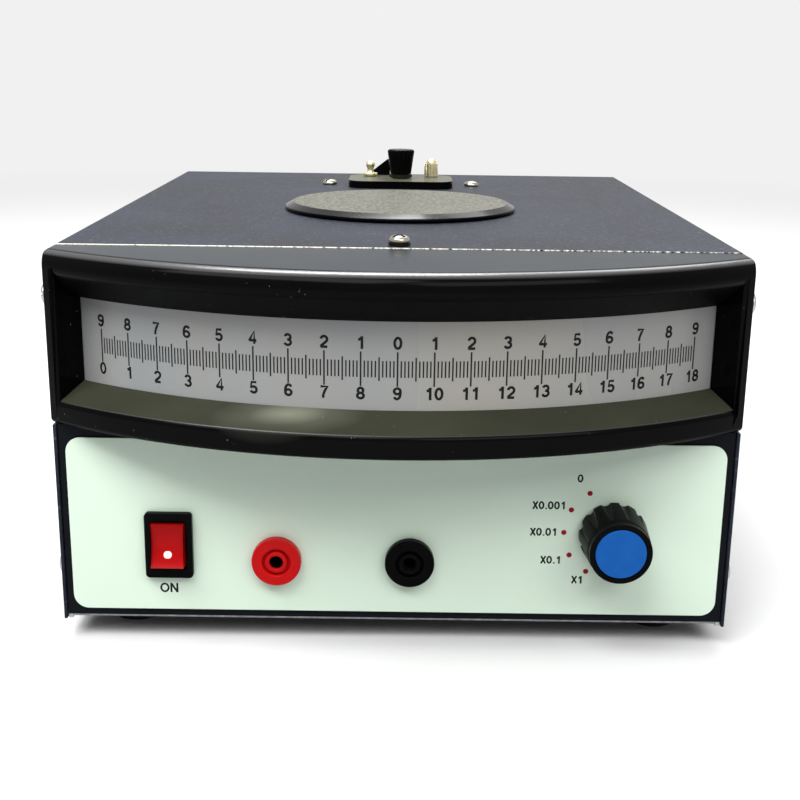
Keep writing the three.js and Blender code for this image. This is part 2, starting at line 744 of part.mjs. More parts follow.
// The window of the hood: a funnel from the lip in to the scale, grown by a wall where wanted
function windowFunnel(grow, frontRadius, rearRadius) {
  const span = lipRadius - scaleRadius;
  const at = (radius, low, high) => low + (high - low) * (radius - scaleRadius) / span;
  const rings = [];
  for (let i = 0; i <= hoodSteps; i++) {
    const side = 2 * i / hoodSteps - 1;
    const corner = (radius, rearZ, frontZ, shift) => {
      const x = side * (at(radius, windowRearHalf, windowFrontHalf) + grow);
      const angle = Math.asin(x / radius);
      return [x, arcY - radius * Math.cos(angle), up(at(radius, rearZ, frontZ)) + shift];
    };
    rings.push([
      corner(frontRadius, windowRearLow, windowFrontLow, -grow),
      corner(frontRadius, windowRearHigh, windowFrontHigh, grow),
      corner(rearRadius, windowRearHigh, windowFrontHigh, grow),
      corner(rearRadius, windowRearLow, windowFrontLow, -grow),
    ]);
  }
  const cap = [[frontRadius, 0], [frontRadius, scaleHeight], [rearRadius, scaleHeight], [rearRadius, 0]];
  return loft(rings, cap);
}

// Hood: a hollow moulding with a curved lip, open to the rear, and a tongue under the cover
function makeHood() {
  const low = up(hoodBottom);
  const wide = Math.atan2(hoodHalf + cutOverrun, arcY - coverSetback);
  const innerRadius = arcY - coverSetback - cutOverrun;
  const lip = [[innerRadius, low], ...roundedCorner(lipRadius, low, hoodLowRadius, -Math.PI / 2, 0),
    ...roundedCorner(lipRadius, hoodTop, hoodTopRadius, 0, Math.PI / 2), [innerRadius, hoodTop]];
  const outline = roundedRect(-hoodHalf, hoodHalf, low, hoodTop, hoodCornerRadius);
  const front = -hoodReach - cutOverrun;
  const shell = keep(arcSweep(lip, wide, hoodSteps), frontSolid(outline, front, coverSetback - seatGap));
  const bend = hoodTopRadius / 2;
  const insideTop = hoodTop - hoodWall;
  const insideLip = lipRadius - hoodWall;
  const hollowProfile = [[innerRadius - cutOverrun, low + hoodWall], [insideLip, low + hoodWall],
    [insideLip, insideTop - bend], [insideLip - bend, insideTop], [innerRadius - cutOverrun, insideTop]];
  const hollowHalf = hoodHalf - hoodWall;
  const hollow = keep(arcSweep(hollowProfile, wide, hoodSteps),
    block(-hollowHalf, hollowHalf, front, coverSetback + cutOverrun, low, hoodTop));
  const funnelWall = keep(windowFunnel(hoodWall, lipRadius - hoodWall / 2, scaleRadius + seatGap), shell);
  const screwHole = screwShankRadius + seatGap;
  const earInner = chassisHalf - chassisSheet - seatGap;
  const earOuter = chassisHalf + seatGap;
  const openings = [
    windowFunnel(0, lipRadius + cutOverrun, scaleRadius - cutOverrun),
    rodZ(screwHole, insideTop - cutOverrun, hoodTop + cutOverrun, 0, coverScrewInset, holeSides),
    ...mirrored((side) => rodX(screwHole, ...ordered(side * earInner, side * (hoodHalf + cutOverrun)),
      hoodScrewInset, up(hoodScrewHeight), holeSides)),
    ...mirrored((side) => block(...ordered(side * earInner, side * earOuter),
      earFront - seatGap, earFront + earDepth + seatGap, low - cutOverrun, up(earTop) + seatGap)),
  ];
  return cut(join(cut(shell, hollow), funnelWall, hoodTongueSolid()), ...openings);
}

// The part of the hood that lies under the front of the cover
function hoodTongueSolid() {
  const half = coverHalf - coverSheet - seatGap;
  const inner = half - chassisSheet - turnGap - hoodWall;
  const top = coverTop - coverSheet - seatGap;
  const shape = new THREE.Shape();
  shape.moveTo(-half, top - coverBend);
  shape.absarc(-half + coverBend, top - coverBend, coverBend, Math.PI, Math.PI / 2, true);
  shape.absarc(half - coverBend, top - coverBend, coverBend, Math.PI / 2, 0, true);
  shape.lineTo(half, top - hoodWall - coverBend);
  shape.lineTo(inner, top - hoodWall - coverBend);
  shape.lineTo(inner, top - hoodWall);
  shape.lineTo(-inner, top - hoodWall);
  shape.lineTo(-inner, top - hoodWall - coverBend);
  shape.lineTo(-half, top - hoodWall - coverBend);
  return frontSolid(shape, coverSetback - hoodTongue, coverSetback + hoodTongue);
}

// Points of a rounded corner whose outermost radius and height are given
function roundedCorner(radius, z, bend, from, to) {
  const middleZ = z - Math.sign(to + from) * bend;
  return Array.from({ length: cornerSteps + 1 }, (_, i) => {
    const angle = from + (to - from) * i / cornerSteps;
    return [radius - bend + bend * Math.cos(angle), middleZ + bend * Math.sin(angle)];
  });
}

function makeScale() {
  const low = up(scaleMiddle) - scaleHeight / 2;
  const high = low + scaleHeight;
  const rear = scaleRadius - scaleThickness;
  return arcSweep([[rear, low], [scaleRadius, low], [scaleRadius, high], [rear, high]],
    Math.asin((windowRearHalf + scaleLap) / scaleRadius), scaleSteps);
}

function makeLabel() {
  const half = labelWidth / 2;
  const outline = roundedRect(-half, half, labelLow, labelLow + labelHeight, labelCorner);
  const plate = frontSolid(outline, 0, labelThickness);
  const reach = [-cutOverrun, labelThickness + cutOverrun];
  return cut(plate,
    block(switchX - switchBodyWidth / 2 - seatGap, switchX + switchBodyWidth / 2 + seatGap, ...reach,
      up(switchHeight) - switchBodyHeight / 2 - seatGap, up(switchHeight) + switchBodyHeight / 2 + seatGap),
    rodY(socketBarrelRadius + seatGap, ...reach, redSocketX, up(socketHeight)),
    rodY(socketBarrelRadius + seatGap, ...reach, blackSocketX, up(socketHeight)),
    rodY(bushRadius + seatGap, ...reach, selectorX, up(selectorHeight)));
}

// Lid that drops into the lamp port of the cover
function makePortLid() {
  const spigot = portRadius - seatGap;
  const profile = [
    [0, lidHeight], [lidTopRadius, lidHeight], [lidRadius, lidEdge], [lidRadius, 0], [spigot, 0],
    [spigot, -lidSpigot], [spigot - lidWall, -lidSpigot], [spigot - lidWall, lidHeight - lidWall],
    [0, lidHeight - lidWall],
  ];
  return turned(profile, 'up', 0, portY, coverTop + seatGap, largeSides);
}

// Plate of the torsion head, with the upright web beside the knob
function makeHeadPlate() {
  const halfX = headPlateWidth / 2;
  const halfY = headPlateDepth / 2;
  const plate = planSolid(roundedRect(-halfX, halfX, headY - halfY, headY + halfY, headPlateCorner),
    plateLow, plateHigh);
  const webRight = -postSpread + webLength;
  const webShape = new THREE.Shape();
  webShape.moveTo(-postSpread, plateHigh - webThickness);
  webShape.lineTo(webRight, plateHigh - webThickness);
  webShape.lineTo(webRight, plateHigh + webHeight);
  webShape.lineTo(webRight - webThickness, plateHigh + webHeight);
  webShape.lineTo(-postSpread, plateHigh + webThickness);
  const webRear = headY + halfY - webThickness;
  const web = frontSolid(webShape, webRear - webThickness, webRear);
  const holes = mirrored((side) => rodZ(postStudRadius + seatGap, plateLow - cutOverrun,
    plateHigh + webThickness / 2, side * postSpread, headY + postSetback));
  return cut(join(plate, web), rodZ(spindleRadius + turnGap, plateLow - cutOverrun,
    plateHigh + cutOverrun, 0, headY), ...holes);
}

// Clamping stud of the torsion head with its plain collar, and the other with its knurled nut
function makePostStud() {
  const low = frameTopZ - frameSheet;
  const high = plateHigh + postStudHeight;
  const dome = postStudRadius;
  const profile = [
    [0, low - plateHigh], [postStudRadius, low - plateHigh], [postStudRadius, seatGap],
    [postCollarRadius, seatGap], [postCollarRadius, seatGap + postCollarHeight],
    [postStudRadius, seatGap + postCollarHeight], [postStudRadius, high - plateHigh - dome],
    [postStudRadius * Math.SQRT1_2, high - plateHigh - dome * (1 - Math.SQRT1_2)], [0, high - plateHigh],
  ];
  return turned(profile, 'up', -postSpread, headY + postSetback, plateHigh, smallSides);
}

function makePostNut() {
  const x = postSpread;
  const y = headY + postSetback;
  const low = frameTopZ - frameSheet;
  const stations = [[postNutRadius, postFluteDepth, 0], [postNutRadius, postFluteDepth, postNutHeight]];
  const nut = moved(flutedBody(stations, postFlutes, 2), (shape) =>
    shape.translate(x, y, plateHigh + seatGap));
  const domeRadius = postNutRadius * nutDomeShare;
  const dome = turned([[0, 0], [domeRadius, 0], [domeRadius * Math.SQRT1_2, domeRadius * Math.SQRT1_2],
    [0, domeRadius]], 'up', x, y, plateHigh + seatGap + postNutHeight, smallSides);
  const stud = rodZ(postStudRadius, low, plateHigh + seatGap + postNutHeight, x, y);
  return join(nut, dome, stud);
}

// Zero knob, its collar and the spindle that carries the suspension
function makeZeroKnob() {
  const bottom = plateHigh + turnGap + knobCollarHeight;
  const body = moved(flutedBody([
    [knobLowRadius, knobFluteDepth, 0], [knobTopRadius, knobFluteDepth, knobHeight - knobChamfer],
    [knobTopRadius - knobChamfer, 0, knobHeight]], knobFlutes, 2),
  (shape) => shape.translate(0, headY, bottom));
  return cut(body, rodZ(spindleRadius + seatGap, bottom - cutOverrun, bottom + knobHeight * knobBoreShare,
    0, headY));
}

function makeSpindle() {
  const collarLow = plateHigh + turnGap;
  const knobFloor = collarLow + knobCollarHeight;
  const top = knobFloor + knobHeight * knobBoreShare - seatGap;
  const under = frameTopZ - frameSheet - turnGap;
  const flangeLow = under - spindleFlangeThickness;
  const profile = [
    [0, top], [spindleRadius, top], [spindleRadius, knobFloor - seatGap],
    [knobCollarRadius, knobFloor - seatGap],
    [knobCollarRadius, collarLow], [spindleRadius, collarLow], [spindleRadius, under],
    [spindleFlangeRadius, under], [spindleFlangeRadius, flangeLow], [spindleTailRadius, flangeLow],
    [spindleTailRadius, flangeLow - spindleTail], [0, flangeLow - spindleTail],
  ];
  return turned(profile, 'up', 0, headY, 0);
}

// Rocker switch: flange, body with a pocket, and three solder tabs
function makeSwitchHousing() {
  const z = up(switchHeight);
  const back = switchBodyDepth;
  const flange = frontSolid(roundedRect(switchX - switchFlangeWidth / 2, switchX + switchFlangeWidth / 2,
    z - switchFlangeHeight / 2, z + switchFlangeHeight / 2, switchCorner), -switchFlangeThickness - seatGap,
  -seatGap);
  const body = block(switchX - switchBodyWidth / 2, switchX + switchBodyWidth / 2,
    -seatGap - switchFlangeThickness / 2, back, z - switchBodyHeight / 2, z + switchBodyHeight / 2);
  const pocket = block(switchX - rockerWidth / 2 - turnGap, switchX + rockerWidth / 2 + turnGap,
    -switchFlangeThickness - seatGap - cutOverrun, switchPocketDepth,
    z - rockerHeight / 2 - rockerEndGap, z + rockerHeight / 2 + rockerEndGap);
  const tabs = [-1, 0, 1].map((step) => {
    const middle = z + step * switchBodyHeight * tabSpreadShare;
    return block(switchX - tabWidth / 2, switchX + tabWidth / 2, back - tabThickness, back + tabLength,
      middle - tabThickness / 2, middle + tabThickness / 2);
  });
  return join(cut(join(flange, body), pocket), ...tabs);
}

// Rocker: a hollow-faced key that tilts about a pin across the housing
function makeRocker() {
  const half = rockerHeight / 2;
  const steps = 6;
  const shape = new THREE.Shape();
  const tail = half * rockerTailShare;
  shape.moveTo(rockerTail, -tail);
  shape.lineTo(rockerTail, tail);
  shape.lineTo(0, half);
  shape.lineTo(-rockerEndReach, half);
  for (let i = 1; i < steps; i++) {
    const v = 1 - 2 * i / steps;
    shape.lineTo(-rockerMiddleReach - (rockerEndReach - rockerMiddleReach) * v * v, half * v);
  }
  shape.lineTo(-rockerEndReach, -half);
  shape.lineTo(0, -half);
  return sideSolid(shape, switchX - rockerWidth / 2, switchX + rockerWidth / 2);
}

// Insulated socket: flange with a groove round the mouth, and a barrel through the panel
function makeSocket(x) {
  const front = socketFlangeThickness + seatGap;
  const soft = socketEdgeRadius;
  const bore = socketTubeRadius + seatGap;
  const grooveFloor = front - socketGrooveDepth;
  const profile = [
    [socketHoleRadius, front - socketMouth], [socketHoleRadius, front], [socketGrooveInner, front],
    [socketGrooveInner, grooveFloor], [socketGrooveOuter, grooveFloor], [socketGrooveOuter, front],
    [socketFlangeRadius - soft, front],
    [socketFlangeRadius - soft * (1 - Math.SQRT1_2), front - soft * (1 - Math.SQRT1_2)],
    [socketFlangeRadius, front - soft], [socketFlangeRadius, seatGap], [socketBarrelRadius, seatGap],
    [socketBarrelRadius, -socketBarrelLength], [bore, -socketBarrelLength], [bore, front - socketMouth],
  ];
  return turned([...profile, profile[0]], 'front', x, 0, up(socketHeight), roundSides);
}

function makeSocketTube(x) {
  const front = socketFlangeThickness + seatGap - socketMouth - seatGap;
  const rear = front - socketTubeLength;
  const wallEnd = rear + socketTubeRadius;
  const profile = [
    [0, wallEnd], [socketHoleRadius, wallEnd], [socketHoleRadius, front], [socketTubeRadius, front],
    [socketTubeRadius, rear], [socketTailRadius, rear], [socketTailRadius, rear - socketTailLength],
    [0, rear - socketTailLength],
  ];
  return turned(profile, 'front', x, 0, up(socketHeight), smallSides);
}

function makeSocketNut(x) {
  const near = chassisFace + chassisSheet + seatGap;
  const far = near + socketNutThickness;
  const z = up(socketHeight);
  return cut(hexY(socketNutRadius, near, far, x, z),
    rodY(socketBarrelRadius + seatGap, near - cutOverrun, far + cutOverrun, x, z));
}

// Range selector: bush and click housing behind the panel, with two posts for the wafer
function makeSelectorBody() {
  const z = up(selectorHeight);
  const near = chassisFace + chassisSheet + seatGap;
  const far = near + selectorBodyDepth;
  const waferFace = far + waferSetback - seatGap;
  const housing = join(rodY(selectorBodyRadius, near, far, selectorX, z, roundSides),
    rodY(bushRadius, -bushReach, far, selectorX, z));
  const posts = mirrored((side) => rodY(waferPostRadius, near + chassisSheet, waferFace,
    selectorX + side * (waferRadius - 2 * waferPostRadius) * waferPostShare, z, smallSides));
  return cut(join(housing, ...posts), rodY(shaftRadius + turnGap, -bushReach - cutOverrun,
    far + cutOverrun, selectorX, z));
}

function makeSelectorNut() {
  const z = up(selectorHeight);
  return cut(hexY(selectorNutRadius, -seatGap - selectorNutThickness, -seatGap, selectorX, z),
    rodY(bushRadius + seatGap, -seatGap - selectorNutThickness - cutOverrun, cutOverrun, selectorX, z));
}

function makeWafer() {
  const z = up(selectorHeight);
  const near = chassisFace + chassisSheet + seatGap + selectorBodyDepth + waferSetback;
  const far = near + waferThickness;
  const disc = rodY(waferRadius, near, far, selectorX, z, roundSides);
  const lugs = Array.from({ length: waferLugCount }, (_, i) => {
    const lug = new THREE.BoxGeometry(waferLugLength + waferThickness, waferThickness / 2, waferLugWidth);
    const reach = waferRadius + waferLugLength / 2;
    const shape = lug.translate(reach, 0, 0).rotateY(2 * Math.PI * i / waferLugCount);
    return solidOf(shape.translate(selectorX, (near + far) / 2, z));
  });
  return cut(join(disc, ...lugs), rodY(shaftRadius + turnGap, near - cutOverrun, far + cutOverrun,
    selectorX, z));
}

function makeSelectorShaft() {
  return rodY(shaftRadius, -knobBoreFloor, shaftRear, selectorX, up(selectorHeight));
}

// Fluted selector knob with a plain rim and a sunk cap, hollow where it covers the nut
function makeSelectorKnob() {
  const length = selectorKnobReach - selectorKnobBase;
  const flutesEnd = length - selectorRimLength;
  const taper = (height) => selectorKnobRadius + (selectorRimRadius - selectorKnobRadius) * height / length;
  const stations = [
    [taper(0), selectorFluteDepth, 0],
    [taper(length * fluteStartShare), selectorFluteDepth, length * fluteStartShare],
    [taper(flutesEnd * fluteRunShare), selectorFluteDepth * fluteFadeShare, flutesEnd * fluteRunShare],
    [taper(flutesEnd), 0, flutesEnd], [selectorRimRadius, 0, length - rimChamfer],
    [selectorRimRadius - rimChamfer, 0, length],
  ];
  const z = up(selectorHeight);
  const body = moved(flutedBody(stations, selectorFlutes, 3), (shape) =>
    shape.rotateX(Math.PI / 2).translate(selectorX, -selectorKnobBase, z));
  const cavityEnd = selectorKnobBase + selectorCavityDepth;
  const capFloor = selectorKnobReach - selectorCapThickness - seatGap;
  return cut(body,
    rodY(selectorCavityRadius, -cavityEnd, cutOverrun, selectorX, z),
    rodY(shaftRadius + seatGap, -knobBoreFloor - seatGap, cutOverrun, selectorX, z),
    rodY(selectorCapRadius + seatGap, -selectorKnobReach - cutOverrun, -capFloor, selectorX, z, roundSides));
}

function makeSelectorCap() {
  const front = selectorKnobReach + selectorCapProud;
  const back = selectorKnobReach - selectorCapThickness;
  return rodY(selectorCapRadius, -front, -back, selectorX, up(selectorHeight), roundSides);
}

// Board on four posts, with the shunt resistors wound on bobbins across it
function makeShuntBoard() {
  const low = floorZ + seatGap;
  const top = low + boardHeight + boardThickness;
  const x0 = boardX - boardWidth / 2;
  const y0 = boardY - boardDepth / 2;
  const board = block(x0, x0 + boardWidth, y0, y0 + boardDepth, low + boardHeight, top);
  const posts = [-1, 1].flatMap((across) => [-1, 1].map((along) => rodZ(boardPostRadius, low,
    top - boardThickness / 2, boardX + across * (boardWidth / 2 - 2 * boardPostRadius),
    boardY + along * (boardDepth / 2 - 2 * boardPostRadius), holeSides)));
  const bobbins = slotRow(bobbinCount, bobbinPitch, (shift) => {
    const core = bobbinRadius - bobbinFlange / 2;
    const half = bobbinLength / 2;
    const profile = [
      [0, -half - bobbinFlange], [bobbinRadius, -half - bobbinFlange], [bobbinRadius, -half], [core, -half],
      [core, half], [bobbinRadius, half], [bobbinRadius, half + bobbinFlange], [0, half + bobbinFlange],
    ];
    return turned(profile, 'right', boardX, boardY + shift, top + bobbinRadius * bobbinSinkShare, smallSides);
  });
  return join(board, ...posts, ...bobbins);
}

// Mains inlet: flanged body with a shaped cavity, three blade pins and their tabs behind
function makeInlet() {
  const z = up(inletHeight);
  const face = chassisRear + seatGap;
  const front = face + inletFlangeThickness;
  const back = front - inletBodyDepth;
  const flange = frontSolid(roundedRect(inletX - inletFlangeWidth / 2, inletX + inletFlangeWidth / 2,
    z - inletFlangeHeight / 2, z + inletFlangeHeight / 2, coverBend), face, front);
  const body = block(inletX - inletBodyWidth / 2, inletX + inletBodyWidth / 2, back,
    face + inletFlangeThickness / 2, z - inletBodyHeight / 2, z + inletBodyHeight / 2);
  const halfW = inletCavityWidth / 2;
  const halfH = inletCavityHeight / 2;
  const mouth = new THREE.Shape();
  mouth.moveTo(inletX - halfW, z - halfH);
  mouth.lineTo(inletX + halfW, z - halfH);
  mouth.lineTo(inletX + halfW, z + halfH - inletCavityChamfer);
  mouth.lineTo(inletX + halfW - inletCavityChamfer, z + halfH);
  mouth.lineTo(inletX - halfW + inletCavityChamfer, z + halfH);
  mouth.lineTo(inletX - halfW, z + halfH - inletCavityChamfer);
  const cavityFloor = front - inletCavityDepth;
  const cavity = frontSolid(mouth, cavityFloor, front + cutOverrun);
  const pins = [[-1, -inletPinDrop], [0, inletEarthRise], [1, -inletPinDrop]].flatMap(([side, rise]) => {
    const x = inletX + side * inletPinSpread;
    const [x0, x1] = [x - inletPinWidth / 2, x + inletPinWidth / 2];
    const [z0, z1] = [z + rise - inletPinHeight / 2, z + rise + inletPinHeight / 2];
    return [
      block(x0, x1, cavityFloor - inletPinWidth / 2, cavityFloor + inletPinLength, z0, z1),
      block(x - tabThickness / 2, x + tabThickness / 2, back - tabLength, back + tabThickness, z0, z1),
    ];
  });
  return join(cut(join(flange, body), cavity), ...pins);
}

// Fuse holder, its bore open to the rear, and the cap that carries the fuse
function makeFuseHolder() {
  const face = chassisRear + seatGap;
  const front = face + fuseFlangeThickness;
  const end = front - fuseBodyLength;
  const profile = [
    [0, end], [fuseBodyRadius, end], [fuseBodyRadius, face], [fuseFlangeRadius, face],
    [fuseFlangeRadius, front], [fuseBoreRadius, front], [fuseBoreRadius, front - fuseBoreDepth],
    [0, front - fuseBoreDepth],
  ];
  const tab = block(fuseX - tabWidth / 2, fuseX + tabWidth / 2, end - tabLength, end + tabThickness,
    up(fuseHeight) - tabThickness / 2, up(fuseHeight) + tabThickness / 2);
  return join(turned(profile, 'rear', fuseX, 0, up(fuseHeight), roundSides), tab);
}

function makeFuseCap() {
  const low = chassisRear + seatGap + fuseFlangeThickness + turnGap;
  const high = low + fuseCapLength;
  const z = up(fuseHeight);
  const stations = [[fuseCapRadius, fuseCapFluteDepth, 0],
    [fuseCapRadius, fuseCapFluteDepth, fuseCapLength - knobChamfer],
    [fuseCapRadius - knobChamfer, 0, fuseCapLength]];
  const cap = moved(flutedBody(stations, fuseCapFlutes, 2),
    (shape) => shape.rotateX(-Math.PI / 2).translate(fuseX, low, z));
  const carrier = rodY(fuseCarrierRadius, low - fuseCarrierLength, low + knobChamfer, fuseX, z);
  const slot = block(fuseX - fuseCapRadius, fuseX + fuseCapRadius, high - fuseSlotDepth, high + cutOverrun,
    z - fuseSlotWidth / 2, z + fuseSlotWidth / 2);
  return cut(join(cap, carrier), slot);
}

// Lamp transformer: lamination stack with two windows and feet, and the winding on its middle limb
function makeCore() {
  const low = floorZ + seatGap;
  const [x0, x1] = [coreX - coreWidth / 2, coreX + coreWidth / 2];
  const [y0, y1] = [coreY - coreDepth / 2, coreY + coreDepth / 2];
  const windowWidth = (coreWidth - 4 * coreLimb) / 2;
  const windows = mirrored((side) => block(
    ...ordered(coreX + side * coreLimb, coreX + side * (coreLimb + windowWidth)),
    y0 - cutOverrun, y1 + cutOverrun, low + coreLimb, low + coreHeight - coreLimb));
  const feet = mirrored((side) => {
    const ends = [coreWidth / 2 - coreFootHeight, coreWidth / 2 + coreFootReach];
    return block(...ordered(...ends.map((end) => coreX + side * end)), y0, y1, low, low + coreFootHeight);
  });
  return cut(join(block(x0, x1, y0, y1, low, low + coreHeight), ...feet), ...windows);
}

function makeWinding() {
  const low = floorZ + seatGap;
  const halfX = coreWidth / 2 - coreLimb - seatGap;
  const halfY = windingDepth / 2;
  const outer = planSolid(roundedRect(coreX - halfX, coreX + halfX, coreY - halfY, coreY + halfY,
    coreLimb / 2), low + coreLimb + seatGap, low + coreHeight - coreLimb - seatGap);
  return cut(outer, block(coreX - coreLimb - seatGap, coreX + coreLimb + seatGap,
    coreY - coreDepth / 2 - seatGap, coreY + coreDepth / 2 + seatGap, low, low + coreHeight));
}

// Lamp tube and what it holds, along the y axis of a group that is tilted towards the mirror
function makeLampTube() {
  const shell = cut(rodY(lampTubeRadius, tubeFront, tubeRear, 0, 0, roundSides),
    rodY(tubeBore, tubeFront + lampTubeWall, tubeRear + cutOverrun, 0, 0, roundSides),
    rodY(holderRadius + seatGap, tubeFront - cutOverrun, tubeFront + lampTubeWall + cutOverrun, 0, 0));
  const pivotEnd = lampTubeRadius + cradleSheet + 2 * seatGap;
  const pivots = mirrored((side) => rodX(trunnionRadius,
    ...ordered(side * (lampTubeRadius - lampTubeWall / 2), side * pivotEnd), 0, 0));
  return join(shell, ...pivots);
}

function makeLampHolder() {
  const flange = lampTubeWall;
  const profile = [
    [0, tubeFront - flange - seatGap], [tubeBore, tubeFront - flange - seatGap],
    [tubeBore, tubeFront - seatGap], [holderRadius, tubeFront - seatGap],
    [holderRadius, tubeFront + holderLength], [bulbCapRadius + seatGap, tubeFront + holderLength],
    [bulbCapRadius + seatGap, tubeFront + holderLength - bulbCapLength],
    [0, tubeFront + holderLength - bulbCapLength],
  ];
  return turned(profile, 'rear', 0, 0, 0);
}

function makeBulb() {
  const base = tubeFront + holderLength - bulbCapLength + seatGap;
  const neck = base + bulbCapLength;
  const profile = [[0, base], [bulbCapRadius, base], [bulbCapRadius, neck]];
  const steps = 6;
  const start = Math.asin(bulbCapRadius / bulbRadius);
  for (let i = 1; i <= steps; i++) {
    const angle = start + (Math.PI - start) * i / steps;
    profile.push([bulbRadius * Math.sin(angle), neck + bulbRadius * (Math.cos(start) - Math.cos(angle))]);
  }
  profile[profile.length - 1][0] = 0;
  return turned(profile, 'rear', 0, 0, 0);
}

function makeHairPlate() {
  const rear = tubeRear - lensInset - lensThickness - hairPlateInset;
  const disc = rodY(tubeBore - seatGap, rear - hairPlateThickness, rear, 0, 0);
  const near = hairSlotWidth / 2;
  const slots = mirrored((side) => block(...ordered(side * near, side * (near + hairGap)),
    rear - hairPlateThickness - cutOverrun, rear + cutOverrun, -hairSlotHeight / 2, hairSlotHeight / 2));
  return cut(disc, ...slots);
}

function makeLens() {
  const rear = tubeRear - lensInset;
  const front = rear - lensThickness;
  const edge = lensThickness * lensEdgeShare;
  const rim = tubeBore - seatGap;
  const crown = (share) => front + edge + (lensThickness - edge) * (1 - share * share);
  const profile = [[0, front], [rim, front], [rim, front + edge], [lensRadius, crown(1)],
    ...lensShares.map((share) => [lensRadius * share, crown(share)]), [0, crown(0)]];
  return turned(profile, 'rear', 0, 0, 0);
}

// Cradle: a folded sheet whose two cheeks take the pivots of the lamp tube
function makeCradle() {
  const low = floorZ + seatGap;
  const inner = lampTubeRadius + seatGap;
  const outer = inner + cradleSheet;
  const top = lampAxisZ + trunnionRadius + cradleFlange / 2;
  const [y0, y1] = [portY - cradleDepth / 2, portY + cradleDepth / 2];
  const base = block(-outer, outer, y0, y1, low, low + cradleSheet);
  const cheeks = mirrored((side) => block(...ordered(side * inner, side * outer),
    portY - cradleFlange, portY + cradleFlange, low, top));
  return cut(join(base, ...cheeks),
    rodX(trunnionRadius + seatGap, -outer - cutOverrun, outer + cutOverrun, portY, lampAxisZ));
}

// Frame of the movement: bottom plate, back plate and top plate in one piece
function makeMovementFrame() {
  const low = floorZ + seatGap;
  const top = frameTopZ;
  const backY = headY + frameRear;
  const back = block(-frameBackWidth / 2, frameBackWidth / 2, backY, backY + frameSheet, low, top);
  const bottom = block(-frameBackWidth / 2, frameBackWidth / 2, backY - frameFoot - frameRear / 2,
    backY + frameSheet, low, low + frameSheet);
  const head = block(-frameWidth / 2, frameWidth / 2, headY - frameFront, backY + frameSheet,
    top - frameSheet, top);
  const anchor = rodZ(anchorRadius, low + frameSheet / 2, low + frameSheet + anchorHeight, 0, headY);
  const holes = [
    rodZ(spindleRadius + turnGap, top - frameSheet - cutOverrun, top + cutOverrun, 0, headY),
    ...mirrored((side) => rodZ(screwShankRadius + seatGap, top - frameSheet - cutOverrun, top + cutOverrun,
      side * headScrewSpread, headY, holeSides)),
    ...mirrored((side) => rodZ(postStudRadius + seatGap, top - frameSheet - cutOverrun, top + cutOverrun,
      side * postSpread, headY + postSetback, holeSides)),
  ];
  return cut(join(back, bottom, head, anchor), ...holes);
}

// Horseshoe magnet lying round the coil, its yoke against the back plate
function makeMagnet() {
  const low = up(magnetBottom);
  const front = headY - magnetFront;
  const outer = magnetHalfWidth;
  const inner = outer - magnetArm;
  const shape = new THREE.Shape();
  shape.moveTo(-outer, front);
  shape.lineTo(-inner, front);
  shape.lineTo(-inner, yokeY - inner / 2);
  shape.absarc(-inner / 2, yokeY - inner / 2, inner / 2, Math.PI, Math.PI / 2, true);
  shape.absarc(inner / 2, yokeY - inner / 2, inner / 2, Math.PI / 2, 0, true);
  shape.lineTo(inner, front);
  shape.lineTo(outer, front);
  shape.lineTo(outer, magnetRearY - outer / 2);
  shape.absarc(outer / 2, magnetRearY - outer / 2, outer / 2, 0, Math.PI / 2, false);
  shape.absarc(-outer / 2, magnetRearY - outer / 2, outer / 2, Math.PI / 2, Math.PI, false);
  return planSolid(shape, low, low + magnetHeight);
}

function makePoleShoe(side) {
  const low = up(coilMiddle) - shoeHeight / 2;
  const high = low + shoeHeight;
  const inner = magnetHalfWidth - magnetArm - seatGap;
  const reach = magnetFront * shoeReachShare;
  const tip = shoeFaceRadius * shoeBackShare;
  const body = block(...ordered(side * inner, side * tip), headY - reach, headY + reach, low, high);
  return cut(body, rodZ(shoeFaceRadius, low - cutOverrun, high + cutOverrun, 0, headY, largeSides));
}

// Soft iron core inside the coil, held by a stem from the back plate
function makeIronCore() {
  const middle = up(coilMiddle);
  const core = rodZ(coreRadius, middle - coreLength / 2, middle + coreLength / 2, 0, headY, roundSides);
  return join(core, rodY(coreStemRadius, headY, yokeY - seatGap, 0, middle));
}

// Moving coil: a rectangular winding on its stem, which carries the mirror above it
function makeCoil() {
  const middle = up(coilMiddle);
  const half = coilInner / 2;
  const outer = half + coilWire;
  const [y0, y1] = [headY - coilThickness / 2, headY + coilThickness / 2];
  const ring = cut(block(-outer, outer, y0, y1, middle - coilHeight / 2, middle + coilHeight / 2),
    block(-half, half, y0 - cutOverrun, y1 + cutOverrun, middle - coilHeight / 2 + coilWire,
      middle + coilHeight / 2 - coilWire));
  const upper = rodZ(coilStemRadius, middle + coilHeight / 2 - coilWire / 2, stemTopZ, 0, headY);
  return join(ring, upper);
}

function makeStrip(z0, z1) {
  const [halfX, halfY] = [stripWidth / 2, stripThickness / 2];
  return block(-halfX, halfX, headY - halfY, headY + halfY, z0, z1);
}

function makeMirror() {
  const rear = headY - coilStemRadius - seatGap;
  return rodY(mirrorRadius, rear - mirrorThickness, rear, 0, up(mirrorHeight), roundSides);
}

function makeWasher() {
  return cut(rodZ(washerRadius, coverTop + seatGap, washerTop, 0, coverScrewInset, roundSides),
    rodZ(screwShankRadius + seatGap, coverTop - cutOverrun, washerTop + cutOverrun, 0, coverScrewInset));
}

